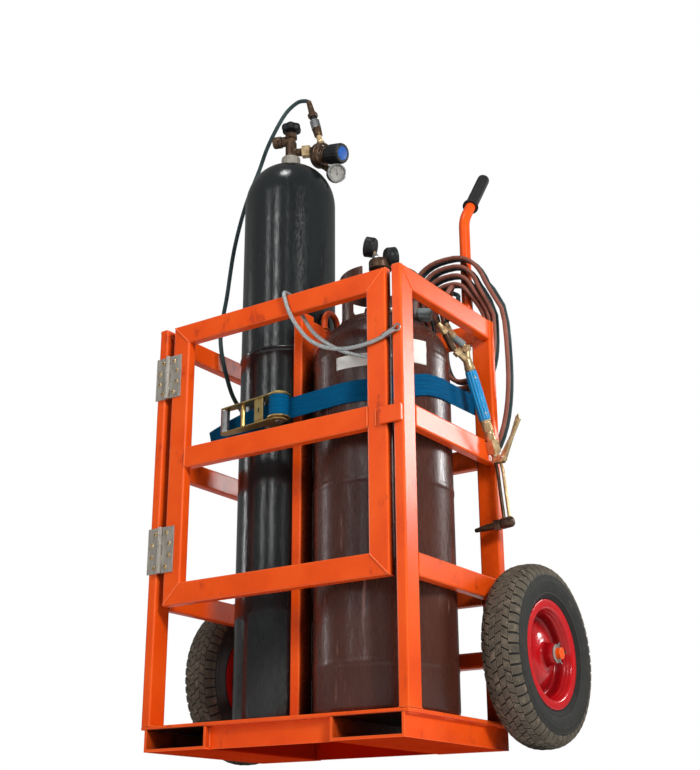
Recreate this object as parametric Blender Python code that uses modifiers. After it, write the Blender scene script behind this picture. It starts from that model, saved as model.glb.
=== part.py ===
"""Gas cylinder cart: a welded cage on two wheels that carries an oxygen and an acetylene cylinder.

Cart coordinates, in metres: X to the right, Y to the back from the frame's front face, Z up from the ground.
Every piece hangs on the empty "cart", which centres the whole on the origin.
"""
import math

import bmesh
import bpy
from mathutils import Vector

# Fits
GAP = 0.0003
MITRE_GAP = 0.0005
BORE_CLEARANCE = 0.0004

# Steel tube of the cage and the gate
TUBE_WIDE = 0.050
TUBE_NARROW = 0.025
TUBE_CORNER = 0.004

# Cylinders, which set the width and depth of the cage
OXYGEN_RADIUS = 0.1175
OXYGEN_SHOULDER_Z = 1.380
OXYGEN_NECK_Z = 1.495
OXYGEN_NECK_RADIUS = 0.025
OXYGEN_NECK_RING = 0.030
OXYGEN_NECK_EDGE = 0.002
OXYGEN_BACK = 0.030
ACETYLENE_RADIUS = 0.158
ACETYLENE_SHOULDER_Z = 0.860
ACETYLENE_DOME = 0.116
ACETYLENE_FRONT = 0.047
CYLINDER_FOOT_RADIUS = 0.012
CYLINDER_SIDE_GAP = 0.0013
PLATE_SIDE_GAP = 0.006
HOSE_SPACE = 0.036

# Lifting eye between the cylinders
LIFT_PLATE = 0.010
LIFT_PLATE_X = -0.0033
LIFT_PLATE_DEPTH = 0.200
HOOP_BAR_RADIUS = 0.008
HOOP_WIDTH = 0.054
HOOP_FRONT = 0.064
HOOP_RISE = 0.045
DIVIDER_FRONT = 0.097

# Cage
FRAME_TOP = 1.000
MID_RAIL_TOP = 0.686
LOW_RAIL_TOP = 0.367

# Base
POCKET_WIDTH = 0.176
POCKET_HEIGHT = 0.047
POCKET_WALL = 0.006
POCKET_INSET = 0.012
DECK_THICKNESS = 0.008
DECK_EDGE = 0.0015
PANEL_RECESS = 0.018
PANEL_THICKNESS = 0.006

# Gate
GATE_HINGE_GAP = 0.021
GATE_LATCH_GAP = 0.016
STOP_TAB_LENGTH = 0.055
STOP_TAB_HEIGHT = 0.038
STOP_TAB_THICKNESS = 0.008
STOP_TAB_LAP = 0.024

# Hinges
HINGE_LENGTH = 0.107
HINGE_LEAF_WIDTH = 0.039
HINGE_LEAF = 0.0025
HINGE_BARREL_RADIUS = 0.0055
HINGE_PIN_RADIUS = 0.003
KNUCKLES = 5
KNUCKLE_GAP = 0.0004
HINGE_BELOW_TOP = 0.076
HINGE_ABOVE_RAIL = 0.026

# Wheels and axle
WHEEL_RADIUS = 0.200
TYRE_WIDTH = 0.088
TYRE_SIDE_GAP = 0.017
TYRE_WALL = 0.008
TYRE_SHOULDER = 0.016
RIM_LIP_RADIUS = 0.1195
RIM_SEAT_RADIUS = 0.1015
RIM_WIDTH = 0.069
RIM_WALL = 0.0035
RIM_WELL = 0.010
RIM_DISC_RISE = 0.012
RIM_DISC_FLAT = 0.020
HUB_RADIUS = 0.024
HUB_LENGTH = 0.088
AXLE_BEAM = 0.035
AXLE_RADIUS = 0.0125
AXLE_PROUD = 0.014

# Push handles
HANDLE_RADIUS = 0.0135
HANDLE_INSET = 0.064
HANDLE_STRAIGHT = 0.268
HANDLE_BEND_RADIUS = 0.080
HANDLE_LEAN = math.radians(34.5)
HANDLE_BARE = 0.039
GRIP_LENGTH = 0.146
GRIP_RADIUS = 0.0160
GRIP_FLANGE_RADIUS = 0.0205
GRIP_FLANGE = 0.004
GRIP_END = 0.006

# Ratchet strap
STRAP_WIDTH = 0.050
STRAP_THICKNESS = 0.0025
STRAP_ABOVE_RAIL = 0.060
STRAP_RISE = 0.060
STRAP_RISE_POINTS = 9
STRAP_TAIL = (-0.245, 0.084)
TAIL_DROOP = 0.028
SPOOL_X = -0.003
SPOOL_RADIUS = 0.023
SPOOL_AXLE_RADIUS = 0.005
RATCHET_PLATE = 0.003
RATCHET_PIN_RADIUS = 0.005
RATCHET_PIN_REACH = 0.062
RATCHET_HANDLE_LENGTH = 0.172
RATCHET_BAR_RADIUS = 0.009
RATCHET_CHEEK = 0.004
PAWL_LENGTH = 0.026

# Oxygen valve and regulator; a profile is (radius, height) from the top down
VALVE_PROFILE = ((0.006, 0.080), (0.006, 0.076), (0.0155, 0.074), (0.0155, 0.060), (0.012, 0.058),
                 (0.015, 0.046), (0.015, 0.004), (0.0175, 0.002), (0.0175, 0.0))
SAFETY_CAP_PROFILE = ((0.0145, 0.050), (0.016, 0.047), (0.016, 0.026), (0.010, 0.024), (0.010, 0.0))
SAFETY_CAP_ANGLE = 200
SAFETY_CAP_RISE = 0.054
OUTLET_ANGLE = 25
OUTLET_RADIUS = 0.0105
OUTLET_RISE = 0.017
OUTLET_REACH = 0.030
HANDWHEEL_RADIUS = 0.0275
HANDWHEEL_THICKNESS = 0.022
HANDWHEEL_LOBES = 6
HANDWHEEL_LOBE_SHARE = 0.07
HANDWHEEL_EDGE = 0.004
REGULATOR_REACH = 0.082
REGULATOR_DROP = 0.016
REGULATOR_RADIUS = 0.034
REGULATOR_DEPTH = 0.030
REGULATOR_EDGE = 0.006
BONNET_RADIUS = 0.022
BONNET_LENGTH = 0.010
INLET_NUT_RADIUS = 0.016
INLET_NUT_LENGTH = 0.023
INLET_STEM_RADIUS = 0.009
OXYGEN_KNOB_RADIUS = 0.0275
OXYGEN_KNOB_LENGTH = 0.052
OXYGEN_KNOB_EDGE = 0.002
OXYGEN_KNOB_POINTING = (0.962, -0.084, -0.259)
GAUGE_RADIUS = 0.025
GAUGE_DEPTH = 0.026
GAUGE_EDGE = 0.002
GAUGE_STEM_RADIUS = 0.006
OXYGEN_GAUGE_PLACE = (0.047, 0.001, -0.068)
OXYGEN_GAUGE_ROOT = (-0.004, 0.010, -0.026)
OXYGEN_GAUGE_FACING = (0.70, -0.60, -0.38)
OXYGEN_FITTING_TOP = (-0.091, 0.262, 1.690)
OXYGEN_FITTING_POINTING = (-0.26, -0.03, 0.97)
OXYGEN_FITTING_PROFILE = ((0.0075, 0.152), (0.0085, 0.122), (0.0125, 0.120), (0.0125, 0.108), (0.009, 0.106),
                          (0.009, 0.097), (0.0125, 0.094), (0.0125, 0.070), (0.011, 0.044), (0.007, 0.042),
                          (0.007, 0.0))

# Guard and regulator of the acetylene cylinder; angles in degrees round its axis
GUARD_RADIUS = 0.098
GUARD_WALL = 0.006
GUARD_TOP = 1.080
GUARD_RIM = 0.030
GUARD_EDGE = 0.002
GUARD_FOOT = 0.004
GUARD_LEGS = (-112, -8, 70, 185)
GUARD_LEG_WIDTH = 22
GUARD_MOUTH = (-84, -22)
COLUMN_PROFILE = ((0.024, 0.156), (0.028, 0.152), (0.028, 0.130), (0.013, 0.124), (0.013, 0.094),
                  (0.018, 0.090), (0.018, 0.040), (0.013, 0.036), (0.013, 0.030), (0.024, 0.026),
                  (0.024, 0.004), (0.020, 0.0))
ACETYLENE_BONNET_PROFILE = ((0.008, 0.088), (0.008, 0.032), (0.012, 0.030), (0.012, 0.0))
ACETYLENE_BONNET_RISE = 0.016
ACETYLENE_KNOB_PROFILE = ((0.015, 0.034), (0.017, 0.031), (0.017, 0.004), (0.013, 0.0))
ACETYLENE_KNOB_ANGLE = 20
ACETYLENE_KNOB_SLOPE = -0.13
FUEL_OUTLET_PROFILE = ((0.0065, 0.046), (0.0065, 0.036), (0.011, 0.034), (0.011, 0.020), (0.008, 0.018),
                       (0.008, 0.0))
FUEL_OUTLET_ANGLE = 125
FUEL_OUTLET_RISE = 0.052
MANIFOLD_RISE = 0.140
LEFT_GAUGE_PLACE = (-0.023, -0.006, 0.056)
LEFT_GAUGE_FACING = (-0.72, -0.30, 0.20)
RIGHT_GAUGE_PLACE = (0.026, 0.006, 0.020)
RIGHT_GAUGE_FACING = (0.60, 0.72, 0.20)

# Cutting torch; places are measured from the outer face of the right-hand rails
TORCH_TOP_PLACE = (-0.005, 0.2885, 0.870)
TORCH_BLOCK_PLACE = (0.0165, 0.376, 0.640)
TORCH_HEAD_PLACE = (0.034, 0.379, 0.490)
TORCH_TIP_PLACE = (-0.041, 0.364, 0.478)
FUEL_INLET_PLACE = (-0.038, 0.221, 0.940)
OXYGEN_INLET_PLACE = (-0.038, 0.266, 0.944)
LEVER_PIVOT_PLACE = (0.034, 0.374, 0.640)
LEVER_TIP_PLACE = (0.085, 0.374, 0.738)
TORCH_PROFILE = ((0.010, 1.0), (0.010, 0.95), (0.0125, 0.94), (0.0125, 0.82), (0.0105, 0.80),
                 (0.0105, 0.74), (0.0115, 0.73), (0.0115, 0.64), (0.0135, 0.62), (0.0145, 0.40),
                 (0.0135, 0.14), (0.010, 0.12), (0.010, 0.03), (0.006, 0.0))
TORCH_STEM_RADIUS = 0.0065
TORCH_BARB_LENGTH = 0.012
TORCH_NUT_RADIUS = 0.0095
TORCH_NUT_LENGTH = 0.014
TORCH_CHAMFER = 0.002
TORCH_TUBE_RADIUS = 0.004
TORCH_TUBE_OFFSET = (0.0051, 0.0035, 0.0)
TORCH_TUBE_BOW = (0.001, 0.002, 0.0)
NOZZLE_PROFILE = ((0.0045, 0.0), (0.007, -0.020), (0.008, -0.044), (0.0115, -0.046), (0.0115, -0.060))
TORCH_HEAD_RADIUS = 0.0125
TORCH_HEAD_BACK = 0.010
TORCH_HEAD_CAP = 0.016
LEVER_PIN_RADIUS = 0.003
LEVER_WIDTH = 0.012
LEVER_THICKNESS = 0.005
LEVER_EYE_RADIUS = 0.007
LEVER_CHEEK = 0.003
LEVER_CHEEK_REACH = 0.022
LEVER_CHEEK_TOP = 0.006
LEVER_CHEEK_BOTTOM = -0.010

# Gas hoses
HOSE_DIAMETER = 0.011
HOSE_LAY = 0.0155
COIL_TURNS = 4.2
COIL_POINTS = 24
COIL_LEFT = (0.128, 0.206)
COIL_RIGHT = (0.363, 0.313)
COIL_TOP = (1.185, 1.085)
COIL_BOTTOM = (0.808, 0.880)
COIL_SQUARENESS = 2.6
LONG_LOOP_DROP = 0.170
LONG_LOOP_REACH = 0.040
LONG_LOOP_SHARE = 0.187
LONG_LOOP_SPREAD = 0.082
DRAPE_FORWARD = 0.058
DRAPE_START = 0.025
DRAPE_LENGTH = 0.065
FUEL_SUPPLY_ROUTE = ((0.104, 0.318, 1.010), (0.100, 0.362, 0.975), (0.106, 0.382, 0.920),
                     (0.110, 0.386, 0.850), (0.119, 0.400, 0.812), (0.126, 0.422, 0.812))
OXYGEN_SUPPLY_ROUTE = ((-0.108, 0.260, 1.708), (-0.131, 0.258, 1.709), (-0.163, 0.255, 1.690),
                       (-0.194, 0.254, 1.653), (-0.227, 0.252, 1.596), (-0.251, 0.250, 1.535),
                       (-0.289, 0.242, 1.435), (-0.312, 0.228, 1.308), (-0.319, 0.212, 1.166),
                       (-0.318, 0.190, 1.035), (-0.309, 0.214, 0.925), (-0.302, 0.248, 0.868),
                       (-0.280, 0.300, 0.820), (-0.226, 0.362, 0.790), (-0.150, 0.382, 0.760),
                       (-0.050, 0.385, 0.738), (0.040, 0.387, 0.728), (0.092, 0.402, 0.728),
                       (0.120, 0.430, 0.745), (0.128, 0.444, 0.790))
FUEL_LEAD_ROUTE = ((0.270, 0.362, 1.083), (0.283, 0.345, 1.081), (0.303, 0.302, 1.062),
                   (0.315, 0.252, 1.018), (0.312, 0.215, 0.982))
OXYGEN_LEAD_ROUTE = ((0.275, 0.386, 1.078), (0.284, 0.370, 1.062), (0.298, 0.345, 1.040),
                     (0.311, 0.312, 1.012), (0.313, 0.285, 0.988))

# Gate tether; its strands as (x, z)
TETHER_DIAMETER = 0.010
TETHER_CREST_X = 0.036
TETHER_FRONT_ROUTE = ((0.334, 0.843), (0.296, 0.830), (0.249, 0.825), (0.202, 0.828), (0.156, 0.841),
                      (0.112, 0.868), (0.080, 0.905), (0.055, 0.945), (0.040, 0.985))
TETHER_BACK_ROUTE = ((0.046, 0.985), (0.062, 0.955), (0.100, 0.897), (0.166, 0.845), (0.236, 0.813),
                     (0.290, 0.800))

# Worked out from the sizes above
OXYGEN_X = LIFT_PLATE_X - LIFT_PLATE / 2 - PLATE_SIDE_GAP - OXYGEN_RADIUS
ACETYLENE_X = LIFT_PLATE_X + LIFT_PLATE / 2 + PLATE_SIDE_GAP + ACETYLENE_RADIUS
ACETYLENE_Y = ACETYLENE_FRONT + ACETYLENE_RADIUS
OXYGEN_Y = ACETYLENE_Y + OXYGEN_BACK
HALF_WIDTH = ACETYLENE_X + ACETYLENE_RADIUS + CYLINDER_SIDE_GAP + TUBE_NARROW
FRAME_DEPTH = ACETYLENE_Y + ACETYLENE_RADIUS + HOSE_SPACE + TUBE_NARROW
REAR_FRONT = FRAME_DEPTH - TUBE_NARROW
INNER_SIDE = HALF_WIDTH - TUBE_NARROW
DECK_TOP = POCKET_HEIGHT + GAP + DECK_THICKNESS
FLOOR = DECK_TOP + GAP
LOW_RAIL_BOTTOM = LOW_RAIL_TOP - TUBE_WIDE
MID_RAIL_BOTTOM = MID_RAIL_TOP - TUBE_WIDE
TOP_RAIL_BOTTOM = FRAME_TOP - TUBE_WIDE
GATE_LEFT = GATE_HINGE_GAP - INNER_SIDE
GATE_RIGHT = INNER_SIDE - GATE_LATCH_GAP
PIN_X = GATE_HINGE_GAP / 2 - INNER_SIDE
PIN_Y = -GAP - HINGE_BARREL_RADIUS
AXLE_Y = FRAME_DEPTH + GAP + AXLE_BEAM / 2
WHEEL_X = HALF_WIDTH + TYRE_SIDE_GAP + TYRE_WIDTH / 2
HANDLE_X = HALF_WIDTH - HANDLE_INSET
HANDLE_Y = FRAME_DEPTH - TUBE_NARROW / 2
STRAP_Z = MID_RAIL_TOP + STRAP_ABOVE_RAIL
UPPER_HINGE_Z = FRAME_TOP - HINGE_BELOW_TOP - HINGE_LENGTH
LOWER_HINGE_Z = LOW_RAIL_TOP + HINGE_ABOVE_RAIL
FRONT_REACH = PIN_Y - HINGE_BARREL_RADIUS
REAR_REACH = AXLE_Y + WHEEL_RADIUS
DEPTH_CENTRE = (FRONT_REACH + REAR_REACH) / 2

COIL_BACK = FRAME_DEPTH + HOSE_DIAMETER / 2 + STRAP_THICKNESS + 3 * GAP
UP = Vector((0, 0, 1))
RIGHT = Vector((1, 0, 0))


def level(angle, slope=0.0):
    """Unit direction at an angle in degrees round the vertical."""
    return Vector((math.cos(math.radians(angle)), math.sin(math.radians(angle)), slope)).normalized()


def beside(place):
    """Point measured from the outer face of the right-hand rails."""
    return Vector((HALF_WIDTH, 0, 0)) + Vector(place)


OUTLET = level(OUTLET_ANGLE)
OXYGEN_KNOB_AXIS = Vector(OXYGEN_KNOB_POINTING).normalized()
OXYGEN_FITTING_AXIS = Vector(OXYGEN_FITTING_POINTING).normalized()
ACETYLENE_KNOB_AXIS = level(ACETYLENE_KNOB_ANGLE, ACETYLENE_KNOB_SLOPE)
FUEL_OUTLET_AXIS = level(FUEL_OUTLET_ANGLE)
ACETYLENE_FOOT = Vector((ACETYLENE_X, ACETYLENE_Y, ACETYLENE_SHOULDER_Z + ACETYLENE_DOME + GAP))
FUEL_OUTLET_START = ACETYLENE_FOOT + UP * FUEL_OUTLET_RISE
TORCH_TOP, TORCH_BLOCK = beside(TORCH_TOP_PLACE), beside(TORCH_BLOCK_PLACE)
TORCH_HEAD, TORCH_TIP = beside(TORCH_HEAD_PLACE), beside(TORCH_TIP_PLACE)
FUEL_INLET, OXYGEN_INLET = beside(FUEL_INLET_PLACE), beside(OXYGEN_INLET_PLACE)
LEVER_PIVOT, LEVER_TIP = beside(LEVER_PIVOT_PLACE), beside(LEVER_TIP_PLACE)
INLET_ROOT = TORCH_TOP.lerp(TORCH_BLOCK, 0.05)

for old in list(bpy.data.objects):
    bpy.data.objects.remove(old, do_unlink=True)


def new_collection(name):
    collection = bpy.data.collections.new(name)
    bpy.context.scene.collection.children.link(collection)
    return collection


PARTS = new_collection("gas_cylinder_cart")
CUTTERS = new_collection("cutters")


def new_material(name, colour, roughness, metallic):
    material = bpy.data.materials.new(name)
    material.use_nodes = True
    shader = material.node_tree.nodes["Principled BSDF"]
    shader.inputs["Base Color"].default_value = (*colour, 1.0)
    shader.inputs["Roughness"].default_value = roughness
    shader.inputs["Metallic"].default_value = metallic
    return material


ORANGE = new_material("orange_paint", (0.75, 0.10, 0.012), 0.45, 0.0)
RED = new_material("red_enamel", (0.55, 0.008, 0.012), 0.25, 0.0)
ZINC = new_material("zinc_plate", (0.42, 0.42, 0.38), 0.4, 0.9)
TYRE = new_material("tyre_rubber", (0.025, 0.025, 0.022), 0.85, 0.0)
GRIP = new_material("grip_rubber", (0.015, 0.015, 0.015), 0.6, 0.0)
WEBBING = new_material("blue_webbing", (0.004, 0.10, 0.26), 0.85, 0.0)
YELLOW_ZINC = new_material("yellow_zinc", (0.50, 0.36, 0.13), 0.35, 0.9)
OXYGEN_PAINT = new_material("black_paint", (0.018, 0.022, 0.024), 0.4, 0.0)
ACETYLENE_PAINT = new_material("maroon_paint", (0.09, 0.032, 0.026), 0.45, 0.0)
BRASS = new_material("brass", (0.45, 0.28, 0.11), 0.35, 1.0)
BLACK_PLASTIC = new_material("black_plastic", (0.012, 0.012, 0.013), 0.4, 0.0)
GREY_PLASTIC = new_material("grey_plastic", (0.30, 0.33, 0.33), 0.5, 0.0)
FUEL_HOSE = new_material("red_brown_hose", (0.13, 0.05, 0.038), 0.6, 0.0)
OXYGEN_HOSE = new_material("teal_hose", (0.025, 0.055, 0.055), 0.6, 0.0)
WIRE_ROPE = new_material("wire_rope", (0.42, 0.44, 0.43), 0.4, 0.7)


def new_empty(name, location, parent=None):
    empty = bpy.data.objects.new(name, None)
    empty.location = location
    empty.parent = parent
    PARTS.objects.link(empty)
    return empty


CART = new_empty("cart", (0.0, -DEPTH_CENTRE, 0.0))


def place(obj, material, location=(0, 0, 0), rotation=(0, 0, 0), pivot=None):
    """Put a piece into the cart at a place in cart coordinates, carried by its pivot if it moves."""
    obj.parent = pivot or CART
    obj.location = Vector(location) - (pivot.location if pivot else Vector())
    obj.rotation_euler = rotation
    obj.data.materials.append(material)
    PARTS.objects.link(obj)
    return obj


def boolean(target, operation, tool, location=(0, 0, 0), rotation=(0, 0, 0)):
    """Join a tool shape to a piece, or cut it out; the tool is placed in cart coordinates."""
    tool.parent = CART
    tool.location = location
    tool.rotation_euler = rotation
    tool.hide_render = True
    tool.display_type = "WIRE"
    CUTTERS.objects.link(tool)
    modifier = target.modifiers.new(tool.name, "BOOLEAN")
    modifier.operation = operation
    modifier.object = tool
    return target


def aim(direction):
    """Rotation that turns a piece's own Z onto a direction."""
    return Vector(direction).to_track_quat("Z", "Y").to_euler()


def mesh_object(name, work):
    mesh = bpy.data.meshes.new(name)
    work.to_mesh(mesh)
    work.free()
    return bpy.data.objects.new(name, mesh)


def box(name, size, edge=0.0):
    work = bmesh.new()
    bmesh.ops.create_cube(work, size=1.0)
    bmesh.ops.scale(work, vec=size, verts=work.verts)
    obj = mesh_object(name, work)
    if edge:
        bevel = obj.modifiers.new("edge", "BEVEL")
        bevel.width = edge
        bevel.segments = 1
    return obj


def cylinder(name, radius, length, segments=20):
    """Round bar from its origin up its own Z."""
    work = bmesh.new()
    bmesh.ops.create_cone(work, cap_ends=True, segments=segments, radius1=radius, radius2=radius,
                          depth=length)
    bmesh.ops.translate(work, vec=(0, 0, length / 2), verts=work.verts)
    return mesh_object(name, work)


def turned(name, profile, steps, closed=False):
    """Turned piece about its own Z, from a profile of (radius, height) that runs from top to bottom."""
    count = len(profile)
    edges = [(i, i + 1) for i in range(count - 1)]
    if closed:
        edges.append((count - 1, 0))
    mesh = bpy.data.meshes.new(name)
    mesh.from_pydata([(radius, 0, height) for radius, height in profile], edges, [])
    obj = bpy.data.objects.new(name, mesh)
    screw = obj.modifiers.new("turn", "SCREW")
    screw.steps = steps
    screw.render_steps = steps
    screw.use_merge_vertices = True
    screw.merge_threshold = 0.00001
    return obj


def solid(name, profile, steps):
    """Turned piece without a bore: its profile is closed at the axis, top and bottom."""
    return turned(name, [(0, profile[0][1]), *profile, (0, profile[-1][1])], steps)


def baked(curve_object):
    """Closed mesh of a curve, so that it can be joined to other shapes."""
    bpy.context.scene.collection.objects.link(curve_object)
    bpy.context.view_layer.update()
    graph = bpy.context.evaluated_depsgraph_get()
    mesh = bpy.data.meshes.new_from_object(curve_object.evaluated_get(graph))
    work = bmesh.new()
    work.from_mesh(mesh)
    bmesh.ops.remove_doubles(work, verts=work.verts, dist=0.000001)
    work.to_mesh(mesh)
    work.free()
    name, matrix = curve_object.name, curve_object.matrix_world.copy()
    bpy.data.objects.remove(curve_object, do_unlink=True)
    obj = bpy.data.objects.new(name, mesh)
    obj.matrix_world = matrix
    return obj


def rod(name, points, radius, resolution):
    """Round rod or hose along a line of points."""
    curve = bpy.data.curves.new(name, "CURVE")
    curve.dimensions = "3D"
    curve.bevel_depth = radius
    curve.bevel_resolution = resolution
    curve.use_fill_caps = True
    spline = curve.splines.new("POLY")
    spline.points.add(len(points) - 1)
    for slot, point in zip(spline.points, points):
        slot.co = (*point, 1.0)
    return bpy.data.objects.new(name, curve)


def outline(name, points, thickness):
    """Flat plate of a closed outline in its own XY plane, half its thickness to each side."""
    curve = bpy.data.curves.new(name, "CURVE")
    curve.dimensions = "2D"
    curve.fill_mode = "BOTH"
    curve.extrude = thickness / 2
    spline = curve.splines.new("POLY")
    spline.use_cyclic_u = True
    spline.points.add(len(points) - 1)
    for slot, (across, up) in zip(spline.points, points):
        slot.co = (across, up, 0.0, 1.0)
    return baked(bpy.data.objects.new(name, curve))


def arc(centre, radius, start, end, count):
    """Points on an arc in the plane, angles in degrees."""
    angles = [math.radians(start + (end - start) * i / (count - 1)) for i in range(count)]
    return [(centre[0] + radius * math.cos(a), centre[1] + radius * math.sin(a)) for a in angles]


def tube(name, low, high, along, mitres=(), pivot=None):
    """Rectangular tube between two corners; a mitre is (end, axis, side) with the side that is cut back."""
    low, high = Vector(low), Vector(high)
    size = high - low
    work = bmesh.new()
    bmesh.ops.create_cube(work, size=1.0)
    bmesh.ops.scale(work, vec=size, verts=work.verts)
    for end, axis, side in mitres:
        for vert in work.verts:
            if vert.co[along] * end > 0 and vert.co[axis] * side > 0:
                vert.co[along] -= end * size[axis]
    weight = work.edges.layers.float.new("bevel_weight_edge")
    for edge in work.edges:
        run = edge.verts[0].co - edge.verts[1].co
        if abs(run[along]) > 0.99 * run.length:
            edge[weight] = 1.0
    obj = mesh_object(name, work)
    bevel = obj.modifiers.new("tube_corner", "BEVEL")
    bevel.limit_method = "WEIGHT"
    bevel.width = TUBE_CORNER
    bevel.segments = 2
    return place(obj, ORANGE, (low + high) / 2, pivot=pivot)


def smooth_route(points, step):
    """Points every step along a smooth curve through the given ones."""
    knots = [Vector(p) for p in points]
    knots = [2 * knots[0] - knots[1]] + knots + [2 * knots[-1] - knots[-2]]
    dense = []
    for before, start, end, after in zip(knots, knots[1:], knots[2:], knots[3:]):
        for i in range(20):
            t = i / 20
            dense.append(0.5 * (2 * start + (end - before) * t
                                + (2 * before - 5 * start + 4 * end - after) * t ** 2
                                + (3 * start - before - 3 * end + after) * t ** 3))
    dense.append(knots[-2])
    total = sum((b - a).length for a, b in zip(dense, dense[1:]))
    count = max(2, round(total / step))
    route = [dense[0]]
    travelled = 0.0
    for a, b in zip(dense, dense[1:]):
        travelled += (b - a).length
        while len(route) < count and travelled >= len(route) * total / count:
            route.append(b)
    return route + [dense[-1]]


def build_base():
    deck = box("deck_plate", (2 * HALF_WIDTH, FRAME_DEPTH, DECK_THICKNESS), DECK_EDGE)
    place(deck, ORANGE, (0, FRAME_DEPTH / 2, DECK_TOP - DECK_THICKNESS / 2))
    half = POCKET_WIDTH / 2
    inner = half - POCKET_WALL
    channel = [(-half, POCKET_HEIGHT), (-half, 0), (half, 0), (half, POCKET_HEIGHT),
               (inner, POCKET_HEIGHT), (inner, POCKET_WALL), (-inner, POCKET_WALL), (-inner, POCKET_HEIGHT)]
    pocket_x = HALF_WIDTH - POCKET_INSET - half
    for side, sign in (("left", -1), ("right", 1)):
        pocket = outline(side + "_fork_pocket", channel, FRAME_DEPTH)
        place(pocket, ORANGE, (sign * pocket_x, FRAME_DEPTH / 2, 0), (math.pi / 2, 0, 0))
    panel_size = (2 * (pocket_x - half - GAP), PANEL_THICKNESS, POCKET_HEIGHT)
    for end, y in (("front", PANEL_RECESS), ("rear", FRAME_DEPTH - PANEL_RECESS)):
        place(box(end + "_base_panel", panel_size), ORANGE, (0, y, POCKET_HEIGHT / 2))


def build_cage():
    for side, sign in (("left", -1), ("right", 1)):
        near, far = sorted((sign * INNER_SIDE, sign * HALF_WIDTH))
        tube("front_" + side + "_post", (near, 0, FLOOR), (far, TUBE_WIDE, FRAME_TOP), 2, [(1, 1, 1)])
        rear_near, rear_far = sorted((sign * (HALF_WIDTH - TUBE_WIDE), sign * HALF_WIDTH))
        tube("rear_" + side + "_post", (rear_near, REAR_FRONT, FLOOR), (rear_far, FRAME_DEPTH, FRAME_TOP), 2,
             [(1, 0, -sign)])
        tube(side + "_top_rail", (near, MITRE_GAP, TOP_RAIL_BOTTOM), (far, REAR_FRONT - GAP, FRAME_TOP), 1,
             [(-1, 2, -1)])
        for level, top in (("mid", MID_RAIL_TOP), ("low", LOW_RAIL_TOP)):
            tube(side + "_" + level + "_rail", (near, TUBE_WIDE + GAP, top - TUBE_WIDE),
                 (far, REAR_FRONT - GAP, top), 1)
    reach = HALF_WIDTH - MITRE_GAP
    tube("rear_top_rail", (-reach, REAR_FRONT, TOP_RAIL_BOTTOM), (reach, FRAME_DEPTH, FRAME_TOP), 0,
         [(-1, 2, -1), (1, 2, -1)])
    reach = HALF_WIDTH - TUBE_WIDE - GAP
    for level, top in (("mid", MID_RAIL_TOP), ("low", LOW_RAIL_TOP)):
        tube("rear_" + level + "_rail", (-reach, REAR_FRONT, top - TUBE_WIDE), (reach, FRAME_DEPTH, top), 0)
    tube("divider_post", (-TUBE_NARROW / 2, DIVIDER_FRONT, FLOOR),
         (TUBE_NARROW / 2, DIVIDER_FRONT + TUBE_WIDE, FRAME_TOP), 2)


def build_lifting_eye():
    front = DIVIDER_FRONT + TUBE_WIDE + GAP
    back = REAR_FRONT - GAP
    top = FRAME_TOP - TUBE_CORNER
    plate = outline("lifting_eye", [(front, top - LIFT_PLATE_DEPTH), (back, TOP_RAIL_BOTTOM + TUBE_CORNER),
                                    (back, top), (front, top)], LIFT_PLATE)
    place(plate, ORANGE, (LIFT_PLATE_X, 0, 0), (math.pi / 2, 0, math.pi / 2))
    radius = HOOP_WIDTH / 2
    middle = front + HOOP_FRONT + radius
    crown = FRAME_TOP + HOOP_RISE - radius
    root = top - LIFT_PLATE
    bend = arc((middle, crown), radius, 180, 0, 9)
    path = [(middle - radius, root)] + bend + [(middle + radius, root)]
    hoop = baked(rod("lifting_hoop", [(LIFT_PLATE_X, y, z) for y, z in path], HOOP_BAR_RADIUS, 2))
    boolean(plate, "UNION", hoop)


def build_axle():
    axle = box("axle", (2 * HALF_WIDTH, AXLE_BEAM, AXLE_BEAM), TUBE_CORNER)
    place(axle, ORANGE, (0, AXLE_Y, WHEEL_RADIUS))
    reach = WHEEL_X + HUB_LENGTH / 2 + AXLE_PROUD
    shaft = cylinder("axle_shaft", AXLE_RADIUS, 2 * reach)
    boolean(axle, "UNION", shaft, (-reach, AXLE_Y, WHEEL_RADIUS), (0, math.pi / 2, 0))


def tyre_profile():
    """Closed section of the tyre: outer wall from the outer bead over the crown, then the inner wall back."""
    half = TYRE_WIDTH / 2
    bead = RIM_SEAT_RADIUS + 2 * GAP
    lip = RIM_LIP_RADIUS + 2 * GAP
    seat = RIM_WIDTH / 2 - RIM_WALL - 2 * GAP
    crown = WHEEL_RADIUS
    wall = TYRE_WALL
    outer = [(bead, seat), (lip, seat), (lip + wall, half * 0.90), (0.5 * (lip + crown), half),
             (crown - TYRE_SHOULDER, half * 0.95), (crown - TYRE_SHOULDER * 0.4, half * 0.72),
             (crown, half * 0.30)]
    inner = [(crown - wall, half * 0.45), (lip, half - 2 * wall), (bead, half - 2.4 * wall)]
    outer_all = outer + [(r, -w) for r, w in reversed(outer)]
    inner_all = [(r, -w) for r, w in reversed(inner)] + inner
    return outer_all + inner_all


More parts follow.
